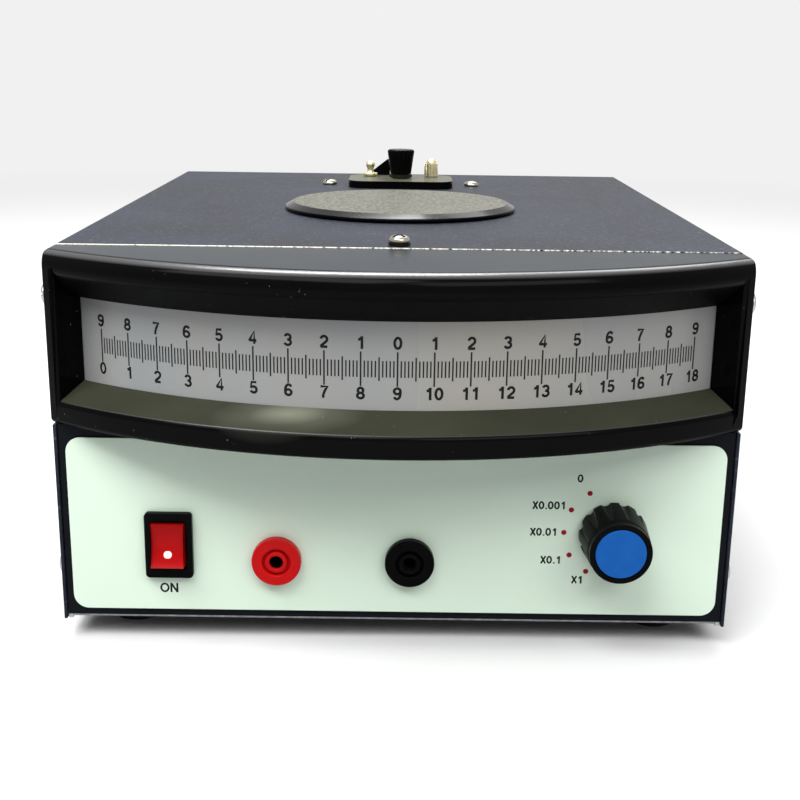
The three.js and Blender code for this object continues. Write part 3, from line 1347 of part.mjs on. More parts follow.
piece('chassis', cut(makeChassis(), ...chassisOpenings()), chassisPaint());
piece('top_cover', makeCover(), coverPaint());
piece('scale_hood', makeHood(), hoodPlastic());
piece('scale_screen', makeScale(), scalePlastic());
piece('front_label', makeLabel(), labelPaint());
const footNames = ['foot_front_left', 'foot_front_right', 'foot_rear_left', 'foot_rear_right'];
footPlaces().forEach(([x, y], i) => piece(footNames[i], makeFoot(x, y), rubber()));
piece('port_lid', makePortLid(), finish(0x3a3d3e, 0.5, 0.2));
piece('head_plate', makeHeadPlate(), blackPlastic());
piece('post_stud', makePostStud(), brass());
piece('post_nut', makePostNut(), brass());
piece('torsion_spindle', makeSpindle(), brass());
piece('zero_knob', makeZeroKnob(), blackPlastic());
piece('switch_housing', makeSwitchHousing(), blackPlastic());
piece('red_socket', makeSocket(redSocketX), redPlastic());
piece('red_socket_tube', makeSocketTube(redSocketX), zincPlate());
piece('red_socket_nut', makeSocketNut(redSocketX), zincPlate());
piece('black_socket', makeSocket(blackSocketX), blackPlastic());
piece('black_socket_tube', makeSocketTube(blackSocketX), zincPlate());
piece('black_socket_nut', makeSocketNut(blackSocketX), zincPlate());
piece('selector_body', makeSelectorBody(), zincPlate());
piece('selector_nut', makeSelectorNut(), zincPlate());
piece('selector_wafer', makeWafer(), phenolic());
piece('selector_shaft', makeSelectorShaft(), zincPlate());
piece('selector_knob', makeSelectorKnob(), blackPlastic());
piece('selector_cap', makeSelectorCap(), bluePlastic());
piece('shunt_board', makeShuntBoard(), phenolic());

const rockerHolder = new THREE.Group();
rockerHolder.position.set(0, rockerY, up(switchHeight));
rockerHolder.rotation.x = -THREE.MathUtils.degToRad(rockerTilt);
galvanometer.add(rockerHolder);
piece('rocker_button', makeRocker(), redPlastic(), rockerHolder);

piece('mains_inlet', makeInlet(), blackPlastic());
piece('fuse_holder', makeFuseHolder(), blackPlastic());
piece('fuse_cap', makeFuseCap(), blackPlastic());
piece('transformer_core', makeCore(), softIron());
piece('transformer_winding', makeWinding(), copperWire());
piece('lamp_cradle', makeCradle(), zincPlate());
piece('movement_frame', makeMovementFrame(), zincPlate());
piece('magnet', makeMagnet(), softIron());
piece('pole_shoe_left', makePoleShoe(-1), softIron());
piece('pole_shoe_right', makePoleShoe(1), softIron());
piece('iron_core', makeIronCore(), softIron());
piece('moving_coil', makeCoil(), copperWire());
piece('coil_mirror', makeMirror(), finish(0xe6ebee, 0.05, 1));
piece('upper_strip', makeStrip(stemTopZ + seatGap, spindleEnd - seatGap), brass());
piece('lower_strip', makeStrip(stripLowEnd, stripLowTop), brass());

const lamp = new THREE.Group();
lamp.position.set(0, portY, lampAxisZ);
lamp.rotation.x = lampTilt;
galvanometer.add(lamp);
piece('lamp_tube', makeLampTube(), chassisPaint(), lamp);
piece('lamp_holder', makeLampHolder(), phenolic(), lamp);
piece('lamp_bulb', makeBulb(), glass(), lamp);
piece('hair_plate', makeHairPlate(), zincPlate(), lamp);
piece('condenser_lens', makeLens(), glass(), lamp);

piece('cover_washer', makeWasher(), zincPlate());
piece('cover_screw', panScrew('up', 0, coverScrewInset, washerTop + seatGap), chrome());
for (const [side, hand] of [[-1, 'left'], [1, 'right']]) {
  piece(`head_screw_${hand}`, panScrew('up', side * headScrewSpread, headY, coverTop + seatGap), chrome());
  piece(`hood_screw_${hand}`, panScrew(hand, side * (hoodHalf + seatGap), hoodScrewInset,
    up(hoodScrewHeight), hoodScrewLength, hoodScrewHeadHeight), zincPlate());
  piece(`side_screw_front_${hand}`, panScrew(hand, side * (coverHalf + seatGap), sideScrewInset,
    up(sideScrewHeight)), zincPlate());
  piece(`side_screw_rear_${hand}`, panScrew(hand, side * (coverHalf + seatGap),
    caseDepth - sideScrewInset, up(sideScrewHeight)), zincPlate());
}

galvanometer.position.y = (hoodReach - fuseCapRear) / 2;

export default galvanometer;
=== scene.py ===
# Spot reflecting galvanometer: finishes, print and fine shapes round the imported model, in metres.
import json
import math

import bpy
from mathutils import Matrix, Vector


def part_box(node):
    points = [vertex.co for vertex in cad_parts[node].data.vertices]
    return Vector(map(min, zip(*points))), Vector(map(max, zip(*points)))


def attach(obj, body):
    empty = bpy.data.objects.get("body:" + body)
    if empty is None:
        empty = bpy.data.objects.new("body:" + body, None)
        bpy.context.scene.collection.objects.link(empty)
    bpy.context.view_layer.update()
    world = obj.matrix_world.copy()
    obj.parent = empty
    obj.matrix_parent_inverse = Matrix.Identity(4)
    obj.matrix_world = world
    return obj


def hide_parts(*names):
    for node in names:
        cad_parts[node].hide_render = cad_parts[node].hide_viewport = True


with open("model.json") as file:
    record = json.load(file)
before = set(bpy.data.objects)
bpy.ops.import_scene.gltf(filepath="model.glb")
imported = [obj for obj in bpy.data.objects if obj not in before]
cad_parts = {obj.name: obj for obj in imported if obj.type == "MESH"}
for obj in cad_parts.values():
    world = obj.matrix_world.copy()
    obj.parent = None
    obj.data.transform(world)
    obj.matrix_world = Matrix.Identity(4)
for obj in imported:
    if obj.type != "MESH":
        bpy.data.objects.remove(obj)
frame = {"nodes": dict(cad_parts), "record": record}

mm = 0.001
fullTurn = 2 * math.pi
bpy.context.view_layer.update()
print("frame loaded:", len(frame["nodes"]), "nodes")


# The camera stands where the photograph was taken from
cameraView = {
    "place": (0.38, -460.01, 173.42),    # millimetres
    "down": 0.2698,                      # radians below level
    "right": 0.0012,                     # radians towards +X
    "roll": 0.0138,
    "lens": 56.34,
    "sensor": 36,
}


def makeCamera():
    bpy.ops.object.camera_add()
    camera = bpy.context.object
    camera.name = "camera"
    camera.data.lens = cameraView["lens"]
    camera.data.sensor_width = cameraView["sensor"]
    camera.data.clip_start = 0.01
    aim = Matrix.Rotation(-cameraView["right"], 4, "Z")
    aim = aim @ Matrix.Rotation(math.pi / 2 - cameraView["down"], 4, "X")
    aim = aim @ Matrix.Rotation(cameraView["roll"], 4, "Z")
    camera.matrix_world = Matrix.Translation(Vector(cameraView["place"]) * mm) @ aim
    bpy.context.scene.camera = camera


makeCamera()
print("camera placed")


# Shader maths: a wire is one socket, and sums on wires add their nodes
class Wire:
    def __init__(self, graph, socket):
        self.graph = graph
        self.socket = socket

    def __add__(self, other):
        return self.graph.maths("ADD", self, other)

    def __radd__(self, other):
        return self.graph.maths("ADD", other, self)

    def __sub__(self, other):
        return self.graph.maths("SUBTRACT", self, other)

    def __rsub__(self, other):
        return self.graph.maths("SUBTRACT", other, self)

    def __mul__(self, other):
        return self.graph.maths("MULTIPLY", self, other)

    def __rmul__(self, other):
        return self.graph.maths("MULTIPLY", other, self)

    def __gt__(self, other):
        return self.graph.maths("GREATER_THAN", self, other)

    def __lt__(self, other):
        return self.graph.maths("LESS_THAN", self, other)


# Any tree of shader nodes, the world's too
class Graph:
    def __init__(self, tree):
        self.tree = tree

    def node(self, kind, settings, sockets, output=0):
        made = self.tree.nodes.new(kind)
        for key, value in settings.items():
            if key == "stops":
                self.setStops(made.color_ramp, value)
            else:
                setattr(made, key, value)
        for key, value in sockets.items():
            self.feed(made.inputs[key], value)
        return Wire(self, made.outputs[output])

    def maths(self, operation, first, second):
        return self.node("ShaderNodeMath", {"operation": operation}, {0: first, 1: second})

    def setStops(self, ramp, stops):
        while len(ramp.elements) < len(stops):
            ramp.elements.new(0.5)
        for element, (place, level) in zip(ramp.elements, stops):
            element.position = place
            element.color = (level, level, level, 1)

    def feed(self, socket, value):
        if isinstance(value, Wire):
            self.tree.links.new(value.socket, socket)
        else:
            socket.default_value = value

    # What the camera and mirrors see directly, as one share
    def seen(self):
        rays = [self.node("ShaderNodeLightPath", {}, {}, name)
                for name in ("Is Camera Ray", "Is Glossy Ray", "Is Transmission Ray")]
        return self.maths("MAXIMUM", self.maths("MAXIMUM", rays[0], rays[1]), rays[2])


# A procedural material round one Principled shader
class Finish(Graph):
    def __init__(self, name, **fixed):
        self.material = bpy.data.materials.new(name)
        self.material.use_nodes = True
        super().__init__(self.material.node_tree)
        self.shader = self.tree.nodes["Principled BSDF"]
        for socket, value in fixed.items():
            self.shader.inputs[socket.replace("_", " ")].default_value = value
        self.spot = self.node("ShaderNodeTexCoord", {}, {}, "Object")

    def put(self, name, value):
        self.feed(self.shader.inputs[name], value)

    # Noise with features of about the given size in metres
    def noise(self, size, detail=2.0, stretch=(1, 1, 1)):
        spot = self.node("ShaderNodeMapping", {}, {"Vector": self.spot, "Scale": stretch})
        return self.node("ShaderNodeTexNoise", {}, {"Vector": spot, "Scale": 1 / size, "Detail": detail}, "Fac")

    def parts(self, vector):
        split = self.node("ShaderNodeSeparateXYZ", {}, {"Vector": vector}).socket.node
        return [Wire(self, split.outputs[axis]) for axis in "XYZ"]

    def specks(self, size):
        return self.node("ShaderNodeTexVoronoi", {}, {"Vector": self.spot, "Scale": 1 / size}, "Distance")

    def ramp(self, value, *stops):
        return self.node("ShaderNodeValToRGB", {"stops": stops}, {"Fac": value})

    def mix(self, share, first, second):
        return self.node("ShaderNodeMix", {"data_type": "RGBA"}, {"Factor": share, 6: first, 7: second}, 2)

    def bump(self, height, depth, strength=1.0):
        self.put("Normal", self.node("ShaderNodeBump", {},
                                     {"Height": height, "Distance": depth, "Strength": strength}, "Normal"))


def shade(red, green, blue):
    def straight(value):
        value /= 255
        return value / 12.92 if value <= 0.04045 else ((value + 0.055) / 1.055) ** 2.4
    return (straight(red), straight(green), straight(blue), 1)


# Front edge of the cover's top, where it meets the hood
def findCoverEdge():
    cover = frame["nodes"]["top_cover"]
    spots = [cover.matrix_world @ vertex.co for vertex in cover.data.vertices]
    return min(spot.y for spot in spots if spot.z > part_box("top_cover")[1].z - 0.1 * mm)


coverEdge = findCoverEdge()


def makeCoverPaint():
    paint = Finish("cover paint", Specular_IOR_Level=0.10)
    clouds = paint.ramp(paint.noise(0.055, 4), (0.32, 0), (0.68, 1))
    grain = paint.noise(0.0008, 2)
    dustAndSheen = paint.ramp(paint.noise(0.0012, 1), (0.62, 0), (0.76, 1))
    slate = paint.mix(clouds, shade(9, 13, 24), shade(41, 45, 56))
    slate = paint.mix(dustAndSheen * 0.32, slate, shade(112, 117, 128))
    across, along, up = paint.parts(paint.spot)
    # Near-white in short runs along the front edge of the top
    paleEdge = (along < coverEdge + 0.0005) * (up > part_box("top_cover")[1].z - 0.0012)
    runs = paint.ramp(paint.noise(0.0014, 3, (1, 0, 0)) - 1.1 * across, (0.36, 0), (0.54, 1))
    paint.put("Base Color", paint.mix(paleEdge * runs, slate, shade(240, 237, 228)))
    paint.put("Roughness", 0.34 + 0.10 * clouds + 0.14 * grain)
    paint.bump(grain + 0.6 * paint.specks(0.0010), 0.00014, 0.9)
    return paint.material


def makeChassisPaint():
    paint = Finish("chassis paint", Specular_IOR_Level=0.06)
    clouds = paint.noise(0.05, 3)
    grain = paint.noise(0.0009, 2)
    along, up = paint.parts(paint.spot)[1:]
    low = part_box("chassis")[0]
    paleEdge = (along < low.y + 0.0013) * (up < low.z + 0.0012)      # near-white along the bottom front edge
    tone = paint.mix(clouds, shade(8, 10, 14), shade(15, 18, 24))
    paint.put("Base Color", paint.mix(paleEdge * paint.noise(0.003, 3, (1, 0, 0)), tone, shade(226, 230, 232)))
    paint.put("Roughness", 0.36 + 0.14 * clouds)
    paint.bump(grain, 0.00004, 0.5)
    return paint.material


# Where a highlight is painted on the sill, with X scaled like the coordinates it is measured in
highlightPlace = (-0.0134, -0.1325, 0.0785)


def makeHoodPlastic():
    plastic = Finish("hood plastic", Specular_IOR_Level=0.035, Coat_Roughness=0.3, Coat_IOR=1.8)
    smudge = plastic.noise(0.035, 2, (1, 1, 2.5))
    lint = plastic.ramp(plastic.noise(0.0013, 1), (0.785, 0), (0.80, 1))
    facing = plastic.parts(plastic.node("ShaderNodeTexCoord", {}, {}, "Normal"))[2]
    up = plastic.parts(plastic.spot)[2]
    # Dust and painted reflection make the top faces and the sill paler, and hands have polished the rounding
    # between top and lip
    sill = (facing > 0.8) * (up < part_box("scale_hood")[0].z + 0.013)
    dustAndSheen = plastic.ramp(facing, (0.975, 0), (0.995, 1)) * (0.30 + 0.4 * smudge)
    tone = plastic.mix(smudge, shade(3, 3, 4), shade(7, 7, 8))
    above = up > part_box("scale_hood")[1].z + 0.0005      # the lid and the torsion plate
    # Painted reflection with dust: bluish grey on the hood, pale olive on the lid and the torsion plate
    reflectionAndDust = plastic.mix(above, shade(62, 68, 74), shade(118, 119, 102))
    tone = plastic.mix(dustAndSheen, tone, reflectionAndDust)
    # Painted reflection of the scale, with dust, makes the sill paler and olive
    tone = plastic.mix(sill * (0.25 + 0.4 * smudge), tone, shade(78, 80, 65))
    # A painted highlight: a soft pale patch on the sill
    highlightDistance = plastic.node("ShaderNodeVectorMath", {"operation": "DISTANCE"},
                          {0: plastic.node("ShaderNodeVectorMath", {"operation": "MULTIPLY"},
                                           {0: plastic.spot, 1: (0.45, 1, 1)}, 0), 1: highlightPlace}, "Value")
    highlightPatch = plastic.ramp(highlightDistance * 100, (0, 0.45), (0.25, 0.28), (0.5, 0.10), (1, 0)) * (0.3 + smudge)
    tone = plastic.mix(highlightPatch, tone, shade(190, 192, 172))
    plastic.put("Base Color", plastic.mix(lint * 0.3, tone, shade(150, 150, 150)))
    plastic.put("Roughness", 0.11 + 0.06 * smudge + 0.3 * dustAndSheen + 0.3 * lint + 0.3 * (facing < -0.5))
    polished = plastic.ramp(facing, (0.66, 0), (0.80, 1), (0.94, 1), (0.97, 0))
    plastic.put("Coat Weight", polished * (sill < 0.5) * (1 - 0.75 * above))
    plastic.bump(plastic.noise(0.012, 2), 0.00004, 0.3)
    return plastic.material


def makeBlackPlastic():
    plastic = Finish("black plastic", Specular_IOR_Level=0.025)
    wear = plastic.noise(0.006, 3)
    plastic.put("Base Color", plastic.mix(wear, shade(3, 3, 4), shade(10, 10, 11)))
    plastic.put("Roughness", 0.18 + 0.14 * wear)
    plastic.bump(plastic.noise(0.0008, 2), 0.00002, 0.4)
    return plastic.material


def makeRubber():
    rubber = Finish("rubber", Specular_IOR_Level=0.2)
    bloom = rubber.noise(0.008, 3)
    rubber.put("Base Color", rubber.mix(bloom, shade(17, 17, 17), shade(34, 34, 33)))
    rubber.put("Roughness", 0.72 + 0.2 * bloom)
    rubber.bump(rubber.noise(0.0012, 3), 0.00006, 0.5)
    return rubber.material


def makeLabelPaint():
    paint = Finish("label paint", Specular_IOR_Level=0.4)
    age = paint.noise(0.045, 3)
    cloth = paint.noise(0.0012, 2)
    paint.put("Base Color", paint.mix(age, shade(217, 237, 218), shade(226, 244, 225)))
    paint.put("Roughness", 0.34 + 0.12 * age + 0.05 * cloth)
    paint.bump(cloth, 0.00002, 0.3)
    return paint.material


def makeScaleWhite():
    white = Finish("scale white", Specular_IOR_Level=0.3)
    stain = white.ramp(white.noise(0.05, 1, (1, 1, 0.4)), (0.40, 0), (0.72, 1))
    cool = white.mix(white.noise(0.05, 2), shade(139, 143, 145), shade(154, 157, 157))
    white.put("Base Color", white.mix(stain * 0.6, cool, shade(163, 157, 145)))
    white.put("Roughness", 0.22 + 0.1 * stain)
    return white.material


def makeColouredPlastic(name, dark, light, roughness=0.24, grain=0.0006):
    plastic = Finish(name, Specular_IOR_Level=0.12)
    cloud = plastic.noise(0.004, 3)
    fine = plastic.noise(grain, 2)
    plastic.put("Base Color", plastic.mix(0.6 * cloud + 0.4 * fine, shade(*dark), shade(*light)))
    plastic.put("Roughness", roughness + 0.15 * fine)
    plastic.bump(fine, 0.00003, 0.5)
    return plastic.material


# Hammered enamel: flat cells with darker joints between them
def makeLidPaint():
    paint = Finish("hammered enamel", Specular_IOR_Level=0.22)
    cells = paint.specks(0.0015)
    fine = paint.noise(0.0008, 3)
    flat = paint.ramp(0.7 * cells + 0.6 * fine, (0.38, 0), (0.72, 1))
    tone = paint.mix(flat, shade(9, 10, 7), shade(102, 101, 88))
    paint.put("Base Color", tone)
    paint.put("Roughness", 0.32 + 0.2 * fine)
    paint.bump(cells + 0.4 * fine, 0.00030, 1.0)
    return paint.material


def makeInk(name, colour):
    ink = Finish(name, Specular_IOR_Level=0.15)
    thin = ink.noise(0.0009, 2)
    lighter = [min(255, value + 14) for value in colour]
    ink.put("Base Color", ink.mix(thin, shade(*colour), shade(*lighter)))
    ink.put("Roughness", 0.42 + 0.15 * thin)
    return ink.material


def makeMetal(name, dark, light, roughness, stretch=(1, 1, 1), depth=0.00002):
    metal = Finish(name, Metallic=1)
    marks = metal.noise(0.0006, 3, stretch)
    tarnish = metal.noise(0.006, 3)
    metal.put("Base Color", metal.mix(tarnish, shade(*dark), shade(*light)))
    metal.put("Roughness", roughness + 0.12 * marks + 0.10 * tarnish)
    metal.bump(marks, depth, 0.4)
    return metal.material


def makeLaminate():
    board = Finish("paper laminate")
    fibre = board.noise(0.0015, 4, (1, 4, 1))
    board.put("Base Color", board.mix(fibre, shade(92, 50, 22), shade(140, 84, 40)))
    board.put("Roughness", 0.45 + 0.2 * fibre)
    board.bump(fibre, 0.00003, 0.4)
    return board.material


def makeWire():
    wire = Finish("enamelled wire", Metallic=0.55)
    turns = wire.node("ShaderNodeTexWave", {"bands_direction": "Z"},
                      {"Vector": wire.spot, "Scale": 520, "Distortion": 0.6}, "Fac")
    wire.put("Base Color", wire.mix(turns, shade(96, 36, 14), shade(176, 84, 40)))
    wire.put("Roughness", 0.3 + 0.2 * turns)
    wire.bump(turns, 0.00015)
    return wire.material


def makeGlass():
    glass = Finish("lamp glass", Transmission_Weight=1, IOR=1.5)
    film = glass.noise(0.004, 2)
    glass.put("Base Color", glass.mix(film, shade(238, 244, 246), shade(252, 254, 255)))
    glass.put("Roughness", 0.02 + 0.03 * film)
    return glass.material


def makeMirror():
    silver = Finish("mirror silver", Metallic=1)
    film = silver.noise(0.003, 2)
    silver.put("Base Color", silver.mix(film, shade(226, 230, 234), shade(242, 244, 246)))
    silver.put("Roughness", 0.02 + 0.04 * film)
    return silver.material


finishes = {
    "cover_paint": makeCoverPaint(),
    "chassis_paint": makeChassisPaint(),
    "hood_plastic": makeHoodPlastic(),
    "black_plastic": makeBlackPlastic(),
    "foot_rubber": makeRubber(),
    "label_paint": makeLabelPaint(),
    "scale_white": makeScaleWhite(),
    "red_plastic": makeColouredPlastic("red plastic", (148, 0, 3), (178, 3, 7)),
    "socket_red": makeColouredPlastic("socket red", (180, 4, 8), (206, 14, 16)),
    "blue_plastic": makeColouredPlastic("blue plastic", (8, 74, 150), (26, 98, 178), 0.42, 0.0004),
    "lid_paint": makeLidPaint(),
    "screw_chrome": makeMetal("chrome", (134, 129, 114), (190, 185, 170), 0.14),
    "screw_zinc": makeMetal("zinc plate", (150, 152, 152), (186, 186, 182), 0.28),
    "turned_brass": makeMetal("turned brass", (206, 194, 150), (236, 228, 192), 0.26, (1, 1, 6)),
    "soft_iron": makeMetal("soft iron", (84, 86, 90), (112, 114, 118), 0.38),
    "phenolic": makeLaminate(),
    "wire_enamel": makeWire(),
    "lamp_glass": makeGlass(),
    "mirror_silver": makeMirror(),
    "dark_metal": makeMetal("dark metal", (30, 27, 20), (58, 53, 42), 0.34),
}
prints = {
    "black_print": makeInk("black print", (10, 11, 12)),
    "red_print": makeInk("red print", (140, 10, 30)),
    "white_print": makeInk("white print", (238, 236, 230)),
    "blue_paint": makeInk("blue paint", (40, 104, 184)),
}
finishes.update(prints)
slotOf = {part["node"]: part["material_slot"] for part in frame["record"]["subparts"]}
darkened = ("torsion_spindle", "cover_washer", "red_socket_tube", "black_socket_tube")
bodyOf = {node: body for body, nodes in frame["record"]["behaviour"]["bodies"].items() for node in nodes}


# Every node of the model gets its finish; the ones that stay on show keep their own mesh
def dressNodes():
    for name, node in frame["nodes"].items():
        node.data.materials.clear()
        node.data.materials.append(finishes["dark_metal" if name in darkened else slotOf[name]])


dressNodes()
print("finishes made:", len(bpy.data.materials))


# Small helpers round Blender's own operators
def only(piece):
    bpy.ops.object.select_all(action="DESELECT")
    piece.select_set(True)
    bpy.context.view_layer.objects.active = piece
    return piece


def settle(piece):
    only(piece)
    bpy.ops.object.transform_apply(location=True, rotation=True, scale=True)
    return piece


def moveBy(piece, matrix):
    piece.matrix_world = matrix @ piece.matrix_world
    return settle(piece)


# A copy with its own mesh
def copyOf(piece):
    copied = piece.copy()
    copied.data = piece.data.copy()
    copied.parent = None
    bpy.context.collection.objects.link(copied)
    return copied


def carve(piece, tool, operation="DIFFERENCE"):
    cut = piece.modifiers.new("cut", "BOOLEAN")
    cut.operation = operation
    cut.solver = "EXACT"
    if tool.data.materials:
        cut.material_mode = "TRANSFER"
    cut.object = tool
    only(piece)
    bpy.ops.object.modifier_apply(modifier=cut.name)
    bpy.data.objects.remove(tool)
    return piece


def soften(piece, width, segments=3, corner=30):
    edge = piece.modifiers.new("edge", "BEVEL")
    edge.width = width * mm
    edge.segments = segments
    edge.limit_method = "ANGLE"
    edge.angle_limit = math.radians(corner)
    only(piece)
    bpy.ops.object.modifier_apply(modifier=edge.name)
    return evenOut(piece, max(corner, 50))


# Smooth shading in which the large faces keep their own direction
def evenOut(piece, corner):
    only(piece)
    bpy.ops.object.shade_smooth_by_angle(angle=math.radians(corner))
    even = piece.modifiers.new("even", "WEIGHTED_NORMAL")
    even.keep_sharp = True
    bpy.ops.object.modifier_apply(modifier=even.name)
    return piece


# Selects the vertices, edges or faces that pass a test, and leaves the piece in edit mode
def choose(piece, kind, test):
    only(piece)
    bpy.ops.object.mode_set(mode="EDIT")
    bpy.ops.mesh.select_mode(type=kind)
    bpy.ops.mesh.select_all(action="DESELECT")
    bpy.ops.object.mode_set(mode="OBJECT")
    mesh = piece.data
    for element in {"VERT": mesh.vertices, "EDGE": mesh.edges, "FACE": mesh.polygons}[kind]:
        element.select = test(element)
    bpy.ops.object.mode_set(mode="EDIT")


def leaveEdit():
    bpy.ops.object.mode_set(mode="OBJECT")


def block(x0, x1, y0, y1, z0, z1):
    bpy.ops.mesh.primitive_cube_add(size=1, location=((x0 + x1) / 2, (y0 + y1) / 2, (z0 + z1) / 2))
    piece = bpy.context.object
    piece.scale = (x1 - x0, y1 - y0, z1 - z0)
    return settle(piece)


def rod(radius, low, high, sides=32, x=0, y=0):
    bpy.ops.mesh.primitive_cylinder_add(vertices=sides, radius=radius, depth=high - low,
                                        location=(x, y, (low + high) / 2))
    return settle(bpy.context.object)


# A disc extruded and scaled from station to station, in millimetres, standing on the origin
def lathe(stations, sides=96, through=False):
    (radius, height), *others = stations
    bpy.ops.mesh.primitive_circle_add(vertices=sides, radius=radius * mm, fill_type="NGON",
                                      location=(0, 0, height * mm))
    piece = settle(bpy.context.object)
    bpy.ops.object.mode_set(mode="EDIT")
    bpy.ops.mesh.select_mode(type="FACE")
    bpy.ops.mesh.select_all(action="SELECT")
    for nextRadius, nextHeight in others:
        step = (0, 0, (nextHeight - height) * mm)
        bpy.ops.mesh.extrude_region_move(TRANSFORM_OT_translate={"value": step})
        share = nextRadius / radius
        bpy.ops.transform.resize(value=(share, share, 1), center_override=(0, 0, nextHeight * mm))
        radius, height = nextRadius, nextHeight
    leaveEdit()
    if through:
        choose(piece, "FACE", lambda face: len(face.vertices) == sides)
        bpy.ops.mesh.bridge_edge_loops()
        leaveEdit()
    choose(piece, "FACE", lambda face: True)
    bpy.ops.mesh.normals_make_consistent(inside=False)
    leaveEdit()
    return piece


# Rounded hollows round a lathed piece: one rod is spun into a ring of copies and cut away
def flute(piece, count, cutter, reach, low, high, turn=0.0):
    tool = rod(cutter * mm, low * mm, high * mm, 20, (reach + cutter) * mm)
    moveBy(tool, Matrix.Rotation(turn, 4, "Z"))
    choose(tool, "FACE", lambda face: True)
    bpy.ops.mesh.spin(steps=count - 1, dupli=True, angle=fullTurn * (count - 1) / count,
                      center=(0, 0, 0), axis=(0, 0, 1))
    leaveEdit()
    return carve(piece, tool)


toFront = Matrix.Rotation(math.pi / 2, 4, "X")
toRear = Matrix.Rotation(-math.pi / 2, 4, "X")
toRight = Matrix.Rotation(math.pi / 2, 4, "Y")
toLeft = Matrix.Rotation(-math.pi / 2, 4, "Y")


def middleOf(node):
    low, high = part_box(node)
    return (low + high) / 2


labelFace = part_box("front_label")[0].y


# A piece takes its name, finish, body and the nodes that it stands for
def finishPiece(piece, name, finish, nodes=(), body="case", slot=None):
    settle(piece)
    piece.name = name
    piece.data.name = name
    if not piece.data.materials:
        piece.data.materials.append(finishes[finish])
    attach(piece, body)
    slot = slot or finish
    slot not in prints
    if nodes:
        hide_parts(*nodes)
    return piece


# Sheet and moulded nodes: their own form, merged, with the sharp edges eased
easedNodes = {
    "top_cover": ("cover_shell", 0.35),
    "chassis": ("chassis_sheet", 0.25),
    "front_label": ("label_plate", 0.12),
    "head_plate": ("torsion_plate", 0.45),
    "switch_housing": ("switch_frame", 0.35),
    "mains_inlet": ("inlet_body", 0.25),
    "fuse_holder": ("fuse_body", 0.3),
    "selector_nut": ("bush_nut", 0.2),
}


def easeNodes():
    for node, (name, width) in easedNodes.items():
        piece = copyOf(frame["nodes"][node])
        choose(piece, "FACE", lambda face: True)
        bpy.ops.mesh.remove_doubles(threshold=0.00001)
        bpy.ops.mesh.dissolve_limited(angle_limit=math.radians(0.5))
        leaveEdit()
        soften(piece, width, 2)
        if node == "head_plate":
            piece.data.materials.clear()
            piece.data.materials.append(finishes["hood_plastic"])
        finishPiece(piece, name, slotOf[node], [node], bodyOf[node])


easeNodes()
print("sheet parts eased")


# Hood and scale: sections spun about the axis of the scale
hoodForm = {
    "scaleRadius": 162.0,
    "lipDepth": 11.2,
    "wall": 1.5,
    "topRound": 4.5,
    "lowRound": 1.6,
    "cornerRound": 1.5,
    "backFromLip": 42.9,        # rear edge of the sides behind the lip
    "tongueBack": 9.3,          # tongue behind that edge
    "tongueInset": 1.7,
    "tongueDrop": 1.0,          # under the top of the hood
    "sill": (11.2, 6.7),        # above the underside, at the scale and at the lip
    "brow": (35.6, 44.0),
    "sides": (91.9, 97.4),
    "edge": 1.3,                # rounding round the window
    "screwHole": 1.8,
    "tongueRoot": 9,            # of the tongue inside the hood
    "seat": 0.3,                # between the funnel's walls and the scale
    "windowHalfAngle": 42,
    "steps": 120,
    "overrun": 3.0,
}
hoodLow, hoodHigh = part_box("scale_hood")
lipRadius = (hoodForm["scaleRadius"] + hoodForm["lipDepth"]) * mm
scaleRadius = hoodForm["scaleRadius"] * mm
arcY = hoodLow.y + lipRadius


# A section between two radii and two heights, spun about the scale's axis from the right end to the left
def sweep(inner, outer, low, high, halfAngle, shape=None):
    bpy.ops.mesh.primitive_plane_add(size=1)
    piece = bpy.context.object
    stand = Matrix.Rotation(-math.pi / 2, 4, "Z") @ Matrix.Rotation(math.pi / 2, 4, "X")
    size = Matrix.Diagonal((outer - inner, high - low, 1, 1))
    place = Matrix.Translation((0, -(inner + outer) / 2, (low + high) / 2))
    piece.matrix_world = place @ stand @ size
    settle(piece)
    if shape:
        shape(piece)
    moveBy(piece, Matrix.Translation((0, arcY, 0)) @ Matrix.Rotation(halfAngle, 4, "Z"))
    choose(piece, "FACE", lambda face: True)
    bpy.ops.mesh.spin(steps=hoodForm["steps"], angle=2 * halfAngle, center=(0, arcY, 0), axis=(0, 0, 1))
    bpy.ops.mesh.select_all(action="SELECT")
    bpy.ops.mesh.normals_make_consistent(inside=False)
    leaveEdit()
    return piece


def roundVertex(piece, test, radius, segments=8):
    choose(piece, "VERT", test)
    bpy.ops.mesh.bevel(offset=radius, segments=segments, affect="VERTICES")
    leaveEdit()


# The tapering window, wider and higher at the lip, with its walls moved out by a wall where wanted
def funnel(grow, outer, inner):
    span = hoodForm["lipDepth"]

    def along(pair, radius):
        share = (radius - hoodForm["scaleRadius"]) / span
        return pair[0] + (pair[1] - pair[0]) * share

    def shape(piece):
        for vertex in piece.data.vertices:
            radius = -vertex.co.y / mm
            pair = hoodForm["brow"] if vertex.co.z > middle else hoodForm["sill"]
            vertex.co.z = hoodLow.z + (along(pair, radius) + (grow if vertex.co.z > middle else -grow)) * mm

    middle = (hoodLow.z + hoodHigh.z) / 2
    halfAngle = math.radians(hoodForm["windowHalfAngle"])
    piece = sweep(inner * mm, outer * mm, middle - mm, middle + mm, halfAngle, shape)
    for side in (-1, 1):
        near, far = [Vector((side * (half + grow) * mm, arcY - math.sqrt(reach ** 2 - half ** 2) * mm, 0))
                     for half, reach in zip(hoodForm["sides"], (hoodForm["scaleRadius"], lipRadius / mm))]
        run = (far - near).normalized()
        choose(piece, "FACE", lambda face: True)
        bpy.ops.mesh.bisect(plane_co=near, plane_no=(-run.y * side, run.x * side, 0),
                            use_fill=True, clear_outer=True, threshold=0.000001)
        leaveEdit()
    return piece


